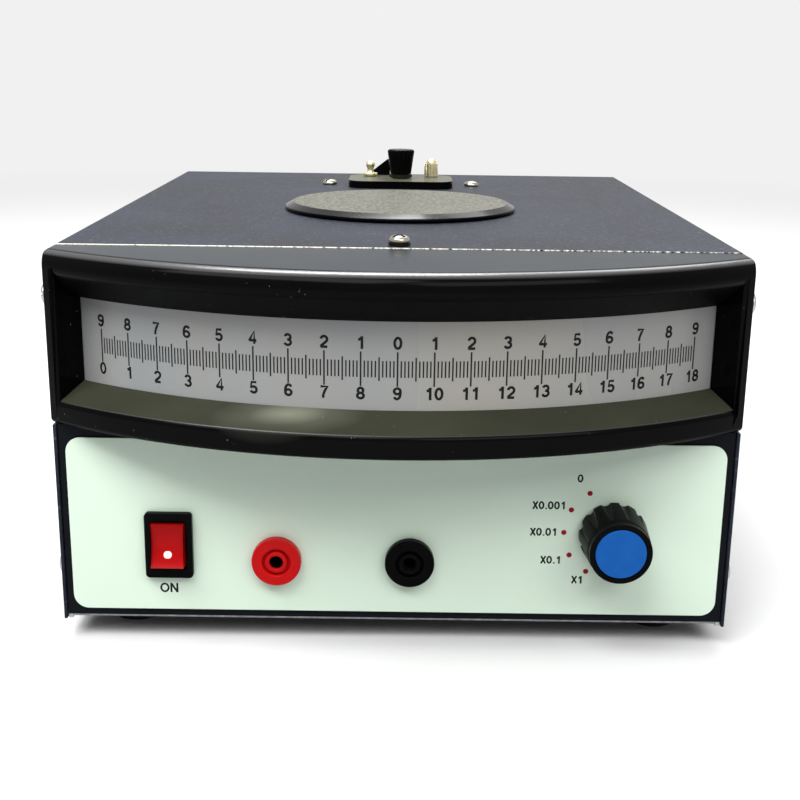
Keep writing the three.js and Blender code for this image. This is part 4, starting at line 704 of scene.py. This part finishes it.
# Only the sharp edges that lie on the lip's front face, round the window
def roundWindow(hood):
    choose(hood, "EDGE", lambda edge: False)
    bpy.ops.mesh.edges_select_sharp(sharpness=math.radians(40))
    leaveEdit()
    sharp = {edge.index for edge in hood.data.edges if edge.select}

    def onLip(edge):
        ends = [hood.data.vertices[index].co for index in edge.vertices]
        reach = [math.hypot(end.x, end.y - arcY) for end in ends]
        inner = all(hoodLow.z + 5 * mm < end.z < hoodHigh.z - 5 * mm for end in ends)
        return edge.index in sharp and inner and min(reach) > lipRadius - 0.2 * mm

    choose(hood, "EDGE", onLip)
    bpy.ops.mesh.bevel(offset=hoodForm["edge"] * mm, segments=5, clamp_overlap=False)
    leaveEdit()


def makeHood():
    wall = hoodForm["wall"] * mm
    back = hoodLow.y + hoodForm["backFromLip"] * mm
    inner = arcY - back - hoodForm["overrun"] * mm
    wide = math.atan2(hoodHigh.x + hoodForm["overrun"] * mm, arcY - back)
    half = hoodHigh.x

    def roundLip(piece):
        roundVertex(piece, lambda vertex: vertex.co.y < -inner - mm and vertex.co.z > hoodHigh.z - mm,
                    hoodForm["topRound"] * mm)
        roundVertex(piece, lambda vertex: vertex.co.y < -inner - mm and vertex.co.z < hoodLow.z + 0.1 * mm,
                    hoodForm["lowRound"] * mm)

    def roundInside(piece):
        roundVertex(piece, lambda vertex: vertex.co.y < -inner - mm and vertex.co.z > hoodHigh.z - wall - mm,
                    (hoodForm["topRound"] - hoodForm["wall"]) * mm)

    hood = sweep(inner, lipRadius, hoodLow.z, hoodHigh.z, wide, roundLip)
    outline = block(-half, half, hoodLow.y - mm, back, hoodLow.z, hoodHigh.z)
    choose(outline, "EDGE", lambda edge: abs(edgeRun(outline, edge).y) > mm)
    bpy.ops.mesh.bevel(offset=hoodForm["cornerRound"] * mm, segments=8)
    leaveEdit()
    carve(hood, outline, "INTERSECT")
    hollow = sweep(inner - 2 * wall, lipRadius - wall, hoodLow.z + wall, hoodHigh.z - wall, wide, roundInside)
    carve(hollow, block(wall - half, half - wall, hoodLow.y, back + 2 * wall, hoodLow.z, hoodHigh.z), "INTERSECT")
    carve(hood, hollow)
    inside = funnel(hoodForm["wall"], lipRadius / mm - hoodForm["wall"] / 2,
                    hoodForm["scaleRadius"] + hoodForm["seat"])
    carve(hood, inside, "UNION")
    tongueHalf = half - hoodForm["tongueInset"] * mm
    top = hoodHigh.z - hoodForm["tongueDrop"] * mm
    tongue = block(-tongueHalf, tongueHalf, back - hoodForm["tongueRoot"] * mm, back + hoodForm["tongueBack"] * mm,
                   top - wall, top)
    carve(hood, tongue, "UNION")
    window = funnel(0, lipRadius / mm + hoodForm["overrun"], hoodForm["scaleRadius"] - hoodForm["overrun"])
    carve(hood, window)
    for node in ("hood_screw_left", "hood_screw_right"):
        spot = middleOf(node)
        hole = moveBy(rod(hoodForm["screwHole"] * mm, -2.5 * wall, 2.5 * wall), toRight)
        carve(hood, moveBy(hole, Matrix.Translation((math.copysign(half, spot.x), spot.y, spot.z))))
    roundWindow(hood)
    evenOut(hood, 32)
    finishPiece(hood, "hood_moulding", "hood_plastic", ["scale_hood"])


def edgeRun(piece, edge):
    first, second = [piece.data.vertices[index].co for index in edge.vertices]
    return second - first


makeHood()
print("hood made")


scaleForm = {"thickness": 2.0, "edge": 0.2}


def makeScale():
    low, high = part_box("scale_screen")
    halfAngle = math.asin(high.x / scaleRadius)
    plate = sweep(scaleRadius - scaleForm["thickness"] * mm, scaleRadius, low.z, high.z, halfAngle)
    soften(plate, scaleForm["edge"], 2)
    finishPiece(plate, "scale_plate", "scale_white", ["scale_screen"])


makeScale()
print("scale made")


# Print: thin raised shapes
scalePrint = {
    "middle": 91.2,           # height of the middle of the marks
    "division": 1.0,
    "halfCount": 90,
    "marks": {1: (4.6, 0.39, 0.03), 5: (6.6, 0.41, 0.035), 10: (9.6, 0.44, 0.04)},   # length, width, rise
    "upper": 98.45,
    "lower": 84.4,
    "digit": 3.5,
    "weight": 0.21,           # width of a stroke, as a share of the height
}


def markRing(length, width, rise, every):
    count = 2 * scalePrint["halfCount"] // every
    angle = scalePrint["halfCount"] * scalePrint["division"] / hoodForm["scaleRadius"]
    z = scalePrint["middle"] * mm
    mark = block(-width / 2 * mm, width / 2 * mm, -scaleRadius - rise * mm, -scaleRadius + 0.1 * mm,
                 z - length / 2 * mm, z + length / 2 * mm)
    moveBy(mark, Matrix.Translation((0, arcY, 0)) @ Matrix.Rotation(angle, 4, "Z"))
    choose(mark, "FACE", lambda face: True)
    bpy.ops.mesh.spin(steps=count, dupli=True, angle=2 * angle, center=(0, arcY, 0), axis=(0, 0, 1))
    leaveEdit()
    return mark


def bow(x, y, wide, high, start, end):
    steps = max(3, round(abs(end - start) / 18))
    angles = [math.radians(start + (end - start) * step / steps) for step in range(steps + 1)]
    return [(x + wide * math.cos(angle), y + high * math.sin(angle)) for angle in angles]


# Figures and capitals on a height of one: the step to the next, then the strokes
ring = bow(0.33, 0.5, 0.25, 0.42, 90, 450)
six = [bow(0.33, 0.305, 0.245, 0.225, 150, 510),
       [(0.56, 0.76), (0.51, 0.86), (0.42, 0.915), (0.32, 0.92), (0.22, 0.87), (0.14, 0.76), (0.095, 0.62),
        (0.082, 0.47), (0.085, 0.31)]]
glyphs = {
    "0": (0.77, [ring]),
    "1": (0.77, [[(0.42, 0), (0.42, 1)], [(0.13, 0.735), (0.24, 0.75), (0.33, 0.81), (0.385, 0.92)]]),
    "2": (0.77, [[*bow(0.33, 0.67, 0.245, 0.25, 172, -38), (0.36, 0.37), (0.15, 0.2), (0.09, 0.08)],
                 [(0.05, 0.08), (0.6, 0.08)]]),
    "3": (0.77, [[*bow(0.32, 0.71, 0.22, 0.21, 165, -72), (0.28, 0.51)],
                 [(0.28, 0.51), *bow(0.32, 0.3, 0.25, 0.22, 72, -165)]]),
    "4": (0.77, [[(0.46, 0), (0.46, 0.97), (0.07, 0.31), (0.08, 0.25)], [(0.03, 0.27), (0.64, 0.27)]]),
    "5": (0.77, [[(0.57, 0.92), (0.17, 0.92), (0.11, 0.5), *bow(0.33, 0.32, 0.245, 0.245, 130, -160)]]),
    "6": (0.77, six),
    "7": (0.77, [[(0.05, 0.92), (0.6, 0.92), (0.46, 0.72), (0.34, 0.46), (0.27, 0.22), (0.25, 0)]]),
    "8": (0.77, [bow(0.33, 0.715, 0.205, 0.205, 90, 450), bow(0.33, 0.295, 0.25, 0.215, 90, 450)]),
    "9": (0.77, [[(0.66 - x, 1 - y) for x, y in stroke] for stroke in six]),
    ".": (0.37, [[(0.15, 0), (0.15, 0.17)]]),
    "X": (0.76, [[(0.06, 0), (0.62, 1)], [(0.62, 0), (0.06, 1)]]),
    "O": (1.0, [bow(0.45, 0.5, 0.37, 0.42, 90, 450)]),
    "N": (0.88, [[(0.1, 0), (0.1, 1)], [(0.1, 0.97), (0.7, 0.03)], [(0.7, 0), (0.7, 1)]]),
}


# A word as a thin print in the XZ plane, its middle at the origin and its face to the front
def word(text, height, weight=0.16, rise=0.03):
    form = bpy.data.curves.new(text, "CURVE")
    form.dimensions = "3D"
    form.bevel_depth = weight * height * mm / 2
    form.bevel_resolution = 0
    form.use_fill_caps = True
    run = 0
    for letter in text:
        step, strokes = glyphs[letter]
        for stroke in strokes:
            closed = math.dist(stroke[0], stroke[-1]) < 0.001
            points = stroke[:-1] if closed else stroke
            line = form.splines.new("POLY")
            line.points.add(len(points) - 1)
            line.use_cyclic_u = closed
            for point, (x, y) in zip(line.points, points):
                point.co = ((x + run) * height * mm, 0, y * height * mm, 1)
        run += step
    piece = bpy.data.objects.new(text, form)
    bpy.context.collection.objects.link(piece)
    only(piece)
    bpy.ops.object.convert(target="MESH")
    piece = bpy.context.object
    middle = (run - 0.11) / 2 * height * mm
    flat = Matrix.Diagonal((1, 2 * rise / (weight * height), 1, 1))
    return moveBy(piece, flat @ Matrix.Translation((-middle, 0, -height / 2 * mm)))


def joined(pieces):
    first = only(pieces[0])
    for piece in pieces:
        piece.select_set(True)
    bpy.ops.object.join()
    return first


def makeScalePrint():
    marks = [markRing(*size, every) for every, size in scalePrint["marks"].items()]
    end = scalePrint["halfCount"] // 10
    for centimetre in range(-end, end + 1):
        angle = centimetre * 10 / hoodForm["scaleRadius"]
        around = Matrix.Translation((0, arcY, 0)) @ Matrix.Rotation(angle, 4, "Z")
        for row, value in (("upper", abs(centimetre)), ("lower", centimetre + end)):
            digit = word(str(value), scalePrint["digit"], scalePrint["weight"])
            marks.append(moveBy(digit, around @ Matrix.Translation((0, -scaleRadius, scalePrint[row] * mm))))
    finishPiece(joined(marks), "scale_marks", "black_print")


makeScalePrint()

labelPrint = {
    "dotRadius": 0.8,
    "dotRing": 14.3,
    "rise": 0.03,       # above the face, with a root under it
    "root": 0.1,
    "dotAngles": (120, 150, 180, 210, 240, 270),
    # Across and up from the middle of the knob or the switch, and height
    "ranges": [("X0.001", -19.0, 8.5, 2.4), ("X0.01", -20.3, 0.1, 2.4), ("X0.1", -17.8, -8.8, 2.4),
               ("X1", -9.6, -15.1, 2.4), ("0", -10.2, 17.0, 2.4)],
    "on": ("ON", -0.7, -14.3, 3.0),
}


def makeLabelPrint():
    knob = middleOf("selector_cap")
    switch = middleOf("switch_housing")
    dots = []
    for degrees in labelPrint["dotAngles"]:
        angle = math.radians(degrees)
        dot = rod(labelPrint["dotRadius"] * mm, -labelPrint["root"] * mm, labelPrint["rise"] * mm, 24)
        reach = labelPrint["dotRing"] * mm
        dots.append(moveBy(dot, Matrix.Translation(
            (knob.x + reach * math.cos(angle), labelFace, knob.z + reach * math.sin(angle))) @ toFront))
    finishPiece(joined(dots), "range_dots", "red_print")
    near = [(knob, 0.22, *placed) for placed in labelPrint["ranges"]] + [(switch, 0.2, *labelPrint["on"])]
    words = [moveBy(word(text, size, weight), Matrix.Translation((base.x + x * mm, labelFace, base.z + z * mm)))
             for base, weight, text, x, z, size in near]
    finishPiece(joined(words), "label_print", "black_print")


makeLabelPrint()
print("print made")


printEdge = 0.03      # rounding of the thin printed shapes

# Rocker of the switch, with its painted dot
rockerForm = {
    "width": 9.7,
    "height": 13.1,
    "middle": 5.2,          # ahead of the pivot, at the hollow's middle and at its ends
    "end": 6.7,
    "tail": 3.5,            # behind the pivot, narrowing to a share of the height
    "taper": 0.55,
    "tilt": -7.0,
    "edge": 0.45,
    "dotRadius": 1.2,
    "dotDrop": 2.75,
    "dotRise": 0.04,
    "dotRoot": 0.2,
}


def makeRocker():
    form = rockerForm
    joint = next(joint for joint in frame["record"]["behaviour"]["joints"] if joint["name"] == "rocker_tilt")
    pivot = Vector(joint["pos_m"])
    half = form["height"] / 2
    sag = form["end"] - form["middle"]
    hollow = (half ** 2 + sag ** 2) / (2 * sag)
    lean = Matrix.Translation(pivot) @ Matrix.Rotation(math.radians(form["tilt"]), 4, "X")
    rocker = block(-form["width"] / 2 * mm, form["width"] / 2 * mm, -form["end"] * mm, 0, -half * mm, half * mm)
    tool = moveBy(rod(hollow * mm, -form["width"] * mm, form["width"] * mm, 256), toRight)
    moveBy(tool, Matrix.Translation((0, -(form["middle"] + hollow) * mm, 0)))
    carve(rocker, tool)
    choose(rocker, "FACE", lambda face: face.normal.y > 0.9)
    bpy.ops.mesh.extrude_region_move(TRANSFORM_OT_translate={"value": (0, form["tail"] * mm, 0)})
    bpy.ops.transform.resize(value=(1, 1, form["taper"]), center_override=(0, form["tail"] * mm, 0))
    leaveEdit()
    soften(rocker, form["edge"], 4, 40)
    moveBy(rocker, lean)
    finishPiece(rocker, "rocker_key", "red_plastic", ["rocker_button"], "rocker")
    swing = math.asin(form["dotDrop"] / hollow)
    reach = form["middle"] + hollow * (1 - math.cos(swing))
    dot = moveBy(rod(form["dotRadius"] * mm, -form["dotRoot"] * mm, form["dotRise"] * mm, 40), toFront)
    tip = Matrix.Translation((0, -reach * mm, -form["dotDrop"] * mm)) @ Matrix.Rotation(-swing, 4, "X")
    moveBy(dot, lean @ tip)
    soften(dot, printEdge, 2)
    finishPiece(dot, "rocker_dot", "white_print", [], "rocker")


makeRocker()

# Sockets for 4 mm plugs
socketForm = {
    "profile": [(4.8, -14), (4.8, 0.3), (7.35, 0.3), (7.35, 3.3), (4.15, 3.3), (4.15, 1.7), (3.3, 1.7),
                (3.3, 3.3), (2.0, 3.3), (2.0, 2.1), (2.8, 2.1), (2.8, -14)],
    "edge": 0.45,
}


def makeSockets():
    master = lathe(socketForm["profile"], 96, True)
    soften(master, socketForm["edge"], 4)
    for node, finish in (("red_socket", "socket_red"), ("black_socket", "black_plastic")):
        middle = middleOf(node)
        socket = moveBy(copyOf(master), Matrix.Translation((middle.x, labelFace, middle.z)) @ toFront)
        finishPiece(socket, node + "_body", finish, [node], "case", slotOf[node])
    bpy.data.objects.remove(master)


makeSockets()

# Selector knob and cap, in millimetres ahead of the label
selectorForm = {
    "profile": [(3.3, 13.6), (3.3, 7.3), (8.1, 7.3), (8.1, 1.3), (10.1, 1.3), (10.1, 3.2), (9.25, 13.7),
                (9.0, 14.2), (9.0, 16.6), (7.6, 16.6), (7.6, 15.4)],
    "flutes": (12, 1.6, 9.3, 0, 14.2),     # count, radius of the cutter, reach, from, to
    "edge": 0.35,
    "cap": [(7.3, 15.7), (7.3, 16.8)],
    "capEdge": 0.2,
    "pointer": {"angle": 240, "width": 1.0, "low": 3.6, "high": 12.6, "radius": 9.72, "taper": 4.6,
                "rise": 0.04, "root": 0.25},
}


def makeSelector():
    form = selectorForm
    middle = middleOf("selector_cap")
    place = Matrix.Translation((middle.x, labelFace, middle.z)) @ toFront
    knob = lathe(form["profile"], 144)
    flute(knob, *form["flutes"], math.pi / form["flutes"][0])
    soften(knob, form["edge"], 3, 28)
    moveBy(knob, place)
    finishPiece(knob, "selector_grip", "black_plastic", ["selector_knob"], "selector")
    cap = lathe(form["cap"], 128)
    soften(cap, form["capEdge"], 3)
    moveBy(cap, place)
    finishPiece(cap, "selector_disc", "blue_plastic", ["selector_cap"], "selector")
    pointer = form["pointer"]
    half = (pointer["high"] - pointer["low"]) / 2 * mm
    side = pointer["width"] / 2 * mm
    line = block(-pointer["root"] * mm, pointer["rise"] * mm, -side, side, -half, half)
    soften(line, printEdge, 2)
    moveBy(line, Matrix.Translation((pointer["radius"] * mm, 0, pointer["low"] * mm + half)) @
           Matrix.Rotation(-math.radians(pointer["taper"]), 4, "Y"))
    moveBy(line, place @ Matrix.Rotation(math.radians(pointer["angle"]), 4, "Z"))
    finishPiece(line, "selector_pointer", "blue_paint", [], "selector")


makeSelector()
print("front controls made")


# Lid of the lamp port: textured top, polished sloping rim
lidForm = {
    "profile": [(28.1, 1.1), (28.1, -4), (29.7, -4), (29.7, 0), (41.3, 0), (41.3, 1.1), (38.3, 2.7)],
    "height": 2.7,
    "edge": 0.35,
}


def makeLid():
    middle = middleOf("port_lid")
    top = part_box("port_lid")[1].z
    lid = lathe(lidForm["profile"], 160)
    soften(lid, lidForm["edge"], 3, 20)
    lid.data.materials.append(finishes["hood_plastic"])
    lid.data.materials.append(finishes["lid_paint"])
    choose(lid, "FACE", lambda face: face.normal.z > 0.97 and face.center.z > 2 * mm)
    lid.active_material_index = 1
    bpy.ops.object.material_slot_assign()
    leaveEdit()
    moveBy(lid, Matrix.Translation((middle.x, middle.y, top - lidForm["height"] * mm)))
    finishPiece(lid, "lid_disc", "lid_paint", ["port_lid"])


makeLid()

# Torsion head: knob, clamp screw and stud
headForm = {
    "knob": [(3.3, 7.0), (3.3, 0), (4.4, 0), (5.7, 9.4), (5.1, 10.0)],
    "knobFlutes": (18, 0.62, 5.25, -1, 11),      # count, radius of the cutter, reach, from, to
    "knobGap": 2.0,             # between the plate and the knob
    "clamp": [(3.0, 0), (3.0, 5.4)],
    "clampFlutes": (14, 0.4, 2.78, -1, 7),
    "clampGap": 0.3,
    "shank": 1.7,
    "dome": [(2.2, -0.2), (2.16, 0.4), (1.9, 1.1), (1.5, 1.6), (0.9, 2.0), (0.3, 2.16)],
    "stud": [(1.7, -14), (1.7, 0.3), (3.1, 0.3), (3.1, 1.4), (1.7, 1.4), (1.35, 2.2), (1.35, 3.4), (1.8, 4.2),
             (1.95, 4.9), (1.8, 5.6), (1.3, 6.3), (0.5, 6.6)],
    "edges": {"knob": 0.18, "clamp": 0.12, "dome": 0.02, "stud": 0.1},
}


def makeTorsionHead():
    form = headForm
    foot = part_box("zero_knob")[0].z
    plateTop = foot - form["knobGap"] * mm
    middle = middleOf("zero_knob")
    knob = lathe(form["knob"], 108)
    flute(knob, *form["knobFlutes"])
    soften(knob, form["edges"]["knob"], 2, 28)
    moveBy(knob, Matrix.Translation((middle.x, middle.y, foot)))
    finishPiece(knob, "zero_grip", "black_plastic", ["zero_knob"], "zero_head")
    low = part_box("post_nut")[0].z
    middle = middleOf("post_nut")
    clamp = lathe(form["clamp"], 84)
    flute(clamp, *form["clampFlutes"])
    soften(clamp, form["edges"]["clamp"], 2, 28)
    dome = lathe(form["dome"], 48)
    moveBy(dome, Matrix.Translation((0, 0, form["clamp"][-1][1] * mm)))
    soften(dome, form["edges"]["dome"], 1, 60)
    shank = rod(form["shank"] * mm, low - plateTop - form["clampGap"] * mm, 0.1 * mm, 32)
    clamp = joined([clamp, dome, shank])
    moveBy(clamp, Matrix.Translation((middle.x, middle.y, plateTop + form["clampGap"] * mm)))
    finishPiece(clamp, "clamp_nut", "turned_brass", ["post_nut"], "clamp_screw")
    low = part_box("post_stud")[0].z
    middle = middleOf("post_stud")
    stud = lathe([(radius, max(height, (low - plateTop) / mm)) for radius, height in form["stud"]], 48)
    soften(stud, form["edges"]["stud"], 2, 40)
    moveBy(stud, Matrix.Translation((middle.x, middle.y, plateTop)))
    finishPiece(stud, "ball_stud", "turned_brass", ["post_stud"])


makeTorsionHead()
print("torsion head made")


# Screws: pan heads with a slot or a cross, one of each kind copied and turned to its places
screwForm = {
    "head": [(3.1, 0), (3.1, 0.35), (2.95, 0.9), (2.55, 1.4), (1.9, 1.72), (1.0, 1.88)],
    "rise": 1.9,
    "lowRise": 1.2,               # of the hood's screws
    "shank": 1.5,
    "turn": (0.7, 1.9),           # radians the first is turned, and each one more than the last
    "slot": (0.8, 4.0, 0.85),     # width, half length, depth
    "cross": (1.05, 2.4, 1.45),
    "edge": 0.08,
}
screws = {
    "cover_screw": ("cross", "screw_chrome"),
    "head_screw_left": ("slot", "screw_chrome"),
    "head_screw_right": ("slot", "screw_chrome"),
    "hood_screw_left": ("slot", "screw_zinc"),
    "hood_screw_right": ("slot", "screw_zinc"),
    "side_screw_front_left": ("cross", "screw_zinc"),
    "side_screw_front_right": ("cross", "screw_zinc"),
    "side_screw_rear_left": ("cross", "screw_zinc"),
    "side_screw_rear_right": ("cross", "screw_zinc"),
}


def makeScrew(recess, finish, rise, shank, share):
    head = [(radius * share, height * rise / screwForm["rise"]) for radius, height in screwForm["head"]]
    screw = lathe([(screwForm["shank"], -shank), (screwForm["shank"], 0), *head], 56)
    screw.data.materials.append(finishes[finish])
    width, reach, depth = screwForm[recess]
    for turn in (0, math.pi / 2) if recess == "cross" else (0,):
        # The faces of the slot or cross take the dark metal finish: painted shade in the recess
        bar = block(-width / 2 * mm, width / 2 * mm, -reach * mm, reach * mm, (rise - depth) * mm, 4 * mm)
        bar.data.materials.append(finishes["dark_metal"])
        carve(screw, moveBy(bar, Matrix.Rotation(turn, 4, "Z")))
    return soften(screw, screwForm["edge"], 2, 40)


def makeScrews():
    masters = {}
    for index, (node, (recess, finish)) in enumerate(screws.items()):
        low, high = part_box(node)
        size = (high - low) / mm
        middle = middleOf(node)
        rise = screwForm["lowRise" if node.startswith("hood") else "rise"]
        sideways = node.startswith(("hood", "side"))
        shank = (size.x if sideways else size.z) - rise
        share = size.y / 2 / screwForm["head"][0][0]
        kind = (recess, finish, rise, round(shank, 4), round(share, 4))
        if kind not in masters:
            masters[kind] = makeScrew(*kind)
        first, more = screwForm["turn"]
        screw = moveBy(copyOf(masters[kind]), Matrix.Rotation(first + more * index, 4, "Z"))
        if not sideways:
            seat = Matrix.Translation((middle.x, middle.y, high.z - rise * mm))
        elif middle.x < 0:
            seat = Matrix.Translation((low.x + rise * mm, middle.y, middle.z)) @ toLeft
        else:
            seat = Matrix.Translation((high.x - rise * mm, middle.y, middle.z)) @ toRight
        moveBy(screw, seat)
        finishPiece(screw, node + "_turned", finish, [node], bodyOf[node])
    for master in masters.values():
        bpy.data.objects.remove(master)


makeScrews()

footForm = {"profile": [(8, 0), (9, 6.7), (3.6, 6.7), (3.6, 8.5), (4.6, 8.5), (3.6, 11.5)], "edge": 0.5}


def makeFeet():
    master = lathe(footForm["profile"], 64)
    soften(master, footForm["edge"], 3)
    for node in ("foot_front_left", "foot_front_right", "foot_rear_left", "foot_rear_right"):
        middle = middleOf(node)
        foot = moveBy(copyOf(master), Matrix.Translation((middle.x, middle.y, 0)))
        finishPiece(foot, node + "_moulding", "foot_rubber", [node])
    bpy.data.objects.remove(master)


makeFeet()

# Fuse cap: finger grip with a coin slot, and the carrier behind it
fuseForm = {
    "profile": [(3.6, -18), (3.6, 0), (6.8, 0), (6.8, 8.4), (6.2, 9)],
    "flutes": (16, 1.0, 6.4, -1, 8),
    "slot": (1.4, 1.5),         # width, depth
    "height": 9.0,
    "edge": 0.2,
}


def makeFuseCap():
    middle = middleOf("fuse_cap")
    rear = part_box("fuse_cap")[1].y
    cap = lathe(fuseForm["profile"], 96)
    flute(cap, *fuseForm["flutes"])
    width, depth = fuseForm["slot"]
    height = fuseForm["height"]
    carve(cap, block(-height * mm, height * mm, -width / 2 * mm, width / 2 * mm,
                     (height - depth) * mm, 2 * height * mm))
    soften(cap, fuseForm["edge"], 2, 28)
    moveBy(cap, Matrix.Translation((middle.x, rear - height * mm, middle.z)) @ toRear)
    finishPiece(cap, "fuse_grip", "black_plastic", ["fuse_cap"], "fuse")


makeFuseCap()
print("screws, feet and rear parts made")


# Floor, light and surroundings
studio = {
    "lamps": [      # place, aimed at, width and height in metres, watts
        ("key", (-0.50, -0.75, 1.30), (0, 0, 0.05), (1.2, 0.7), 26),
        ("fill", (0.55, -1.10, 1.05), (0, 0, 0.05), (1.0, 0.6), 9.5),
        ("back", (0.35, 1.00, 1.25), (0, 0, 0.1), (1.0, 0.5), 8),
        ("strip", (-0.15, 0.42, 1.30), (0, 0, 0.1), (0.7, 0.12), 12),
    ],
    "ambient": 0.27,
    "seen": 0.88,
    "fade": (0.45, 1.6),     # where the floor runs out into the background, from the middle
    "floorSize": 14,
}


def makeFloor():
    bpy.ops.mesh.primitive_plane_add(size=studio["floorSize"])
    floor = settle(bpy.context.object)
    floor.name = "floor"
    paper = Finish("floor paper", Specular_IOR_Level=0.15)
    # The paper is pale to the eye and throws back less light than that
    pale = paper.mix(paper.noise(0.5, 2), shade(224, 224, 225), shade(230, 230, 230))
    paper.put("Base Color", paper.mix(paper.seen(), shade(160, 160, 162), pale))
    paper.put("Roughness", 0.8 + 0.1 * paper.noise(0.01, 2))
    away = paper.node("ShaderNodeVectorMath", {"operation": "LENGTH"}, {0: paper.spot}, "Value")
    near, far = studio["fade"]
    fade = paper.node("ShaderNodeMapRange", {"interpolation_type": "SMOOTHSTEP"},
                      {"Value": away, "From Min": near, "From Max": far})
    glow = paper.node("ShaderNodeEmission", {}, {"Color": (1, 1, 1, 1), "Strength": studio["seen"]})
    both = paper.node("ShaderNodeMixShader", {}, {0: fade * paper.seen(), 1: Wire(paper, paper.shader.outputs[0]),
                                                  2: glow})
    paper.feed(paper.tree.nodes["Material Output"].inputs["Surface"], both)
    floor.data.materials.append(paper.material)


def makeStudio():
    makeFloor()
    for name, place, target, (width, height), power in studio["lamps"]:
        bpy.ops.object.light_add(type="AREA", location=place)
        lamp = bpy.context.object
        lamp.name = name
        lamp.data.shape = "RECTANGLE"
        lamp.data.size = width
        lamp.data.size_y = height
        lamp.data.energy = power
        lamp.rotation_euler = (Vector(target) - Vector(place)).to_track_quat("-Z", "Y").to_euler()
    world = bpy.data.worlds.new("room")
    bpy.context.scene.world = world
    world.use_nodes = True
    room = Graph(world.node_tree)
    level = room.node("ShaderNodeMapRange", {}, {"Value": room.seen(), "To Min": studio["ambient"],
                                                 "To Max": studio["seen"]})
    back = room.tree.nodes["Background"]
    room.feed(back.inputs["Strength"], level)
    back.inputs["Color"].default_value = (1, 1, 1, 1)
    bpy.context.scene.view_settings.view_transform = "Standard"


makeStudio()
print("studio made")
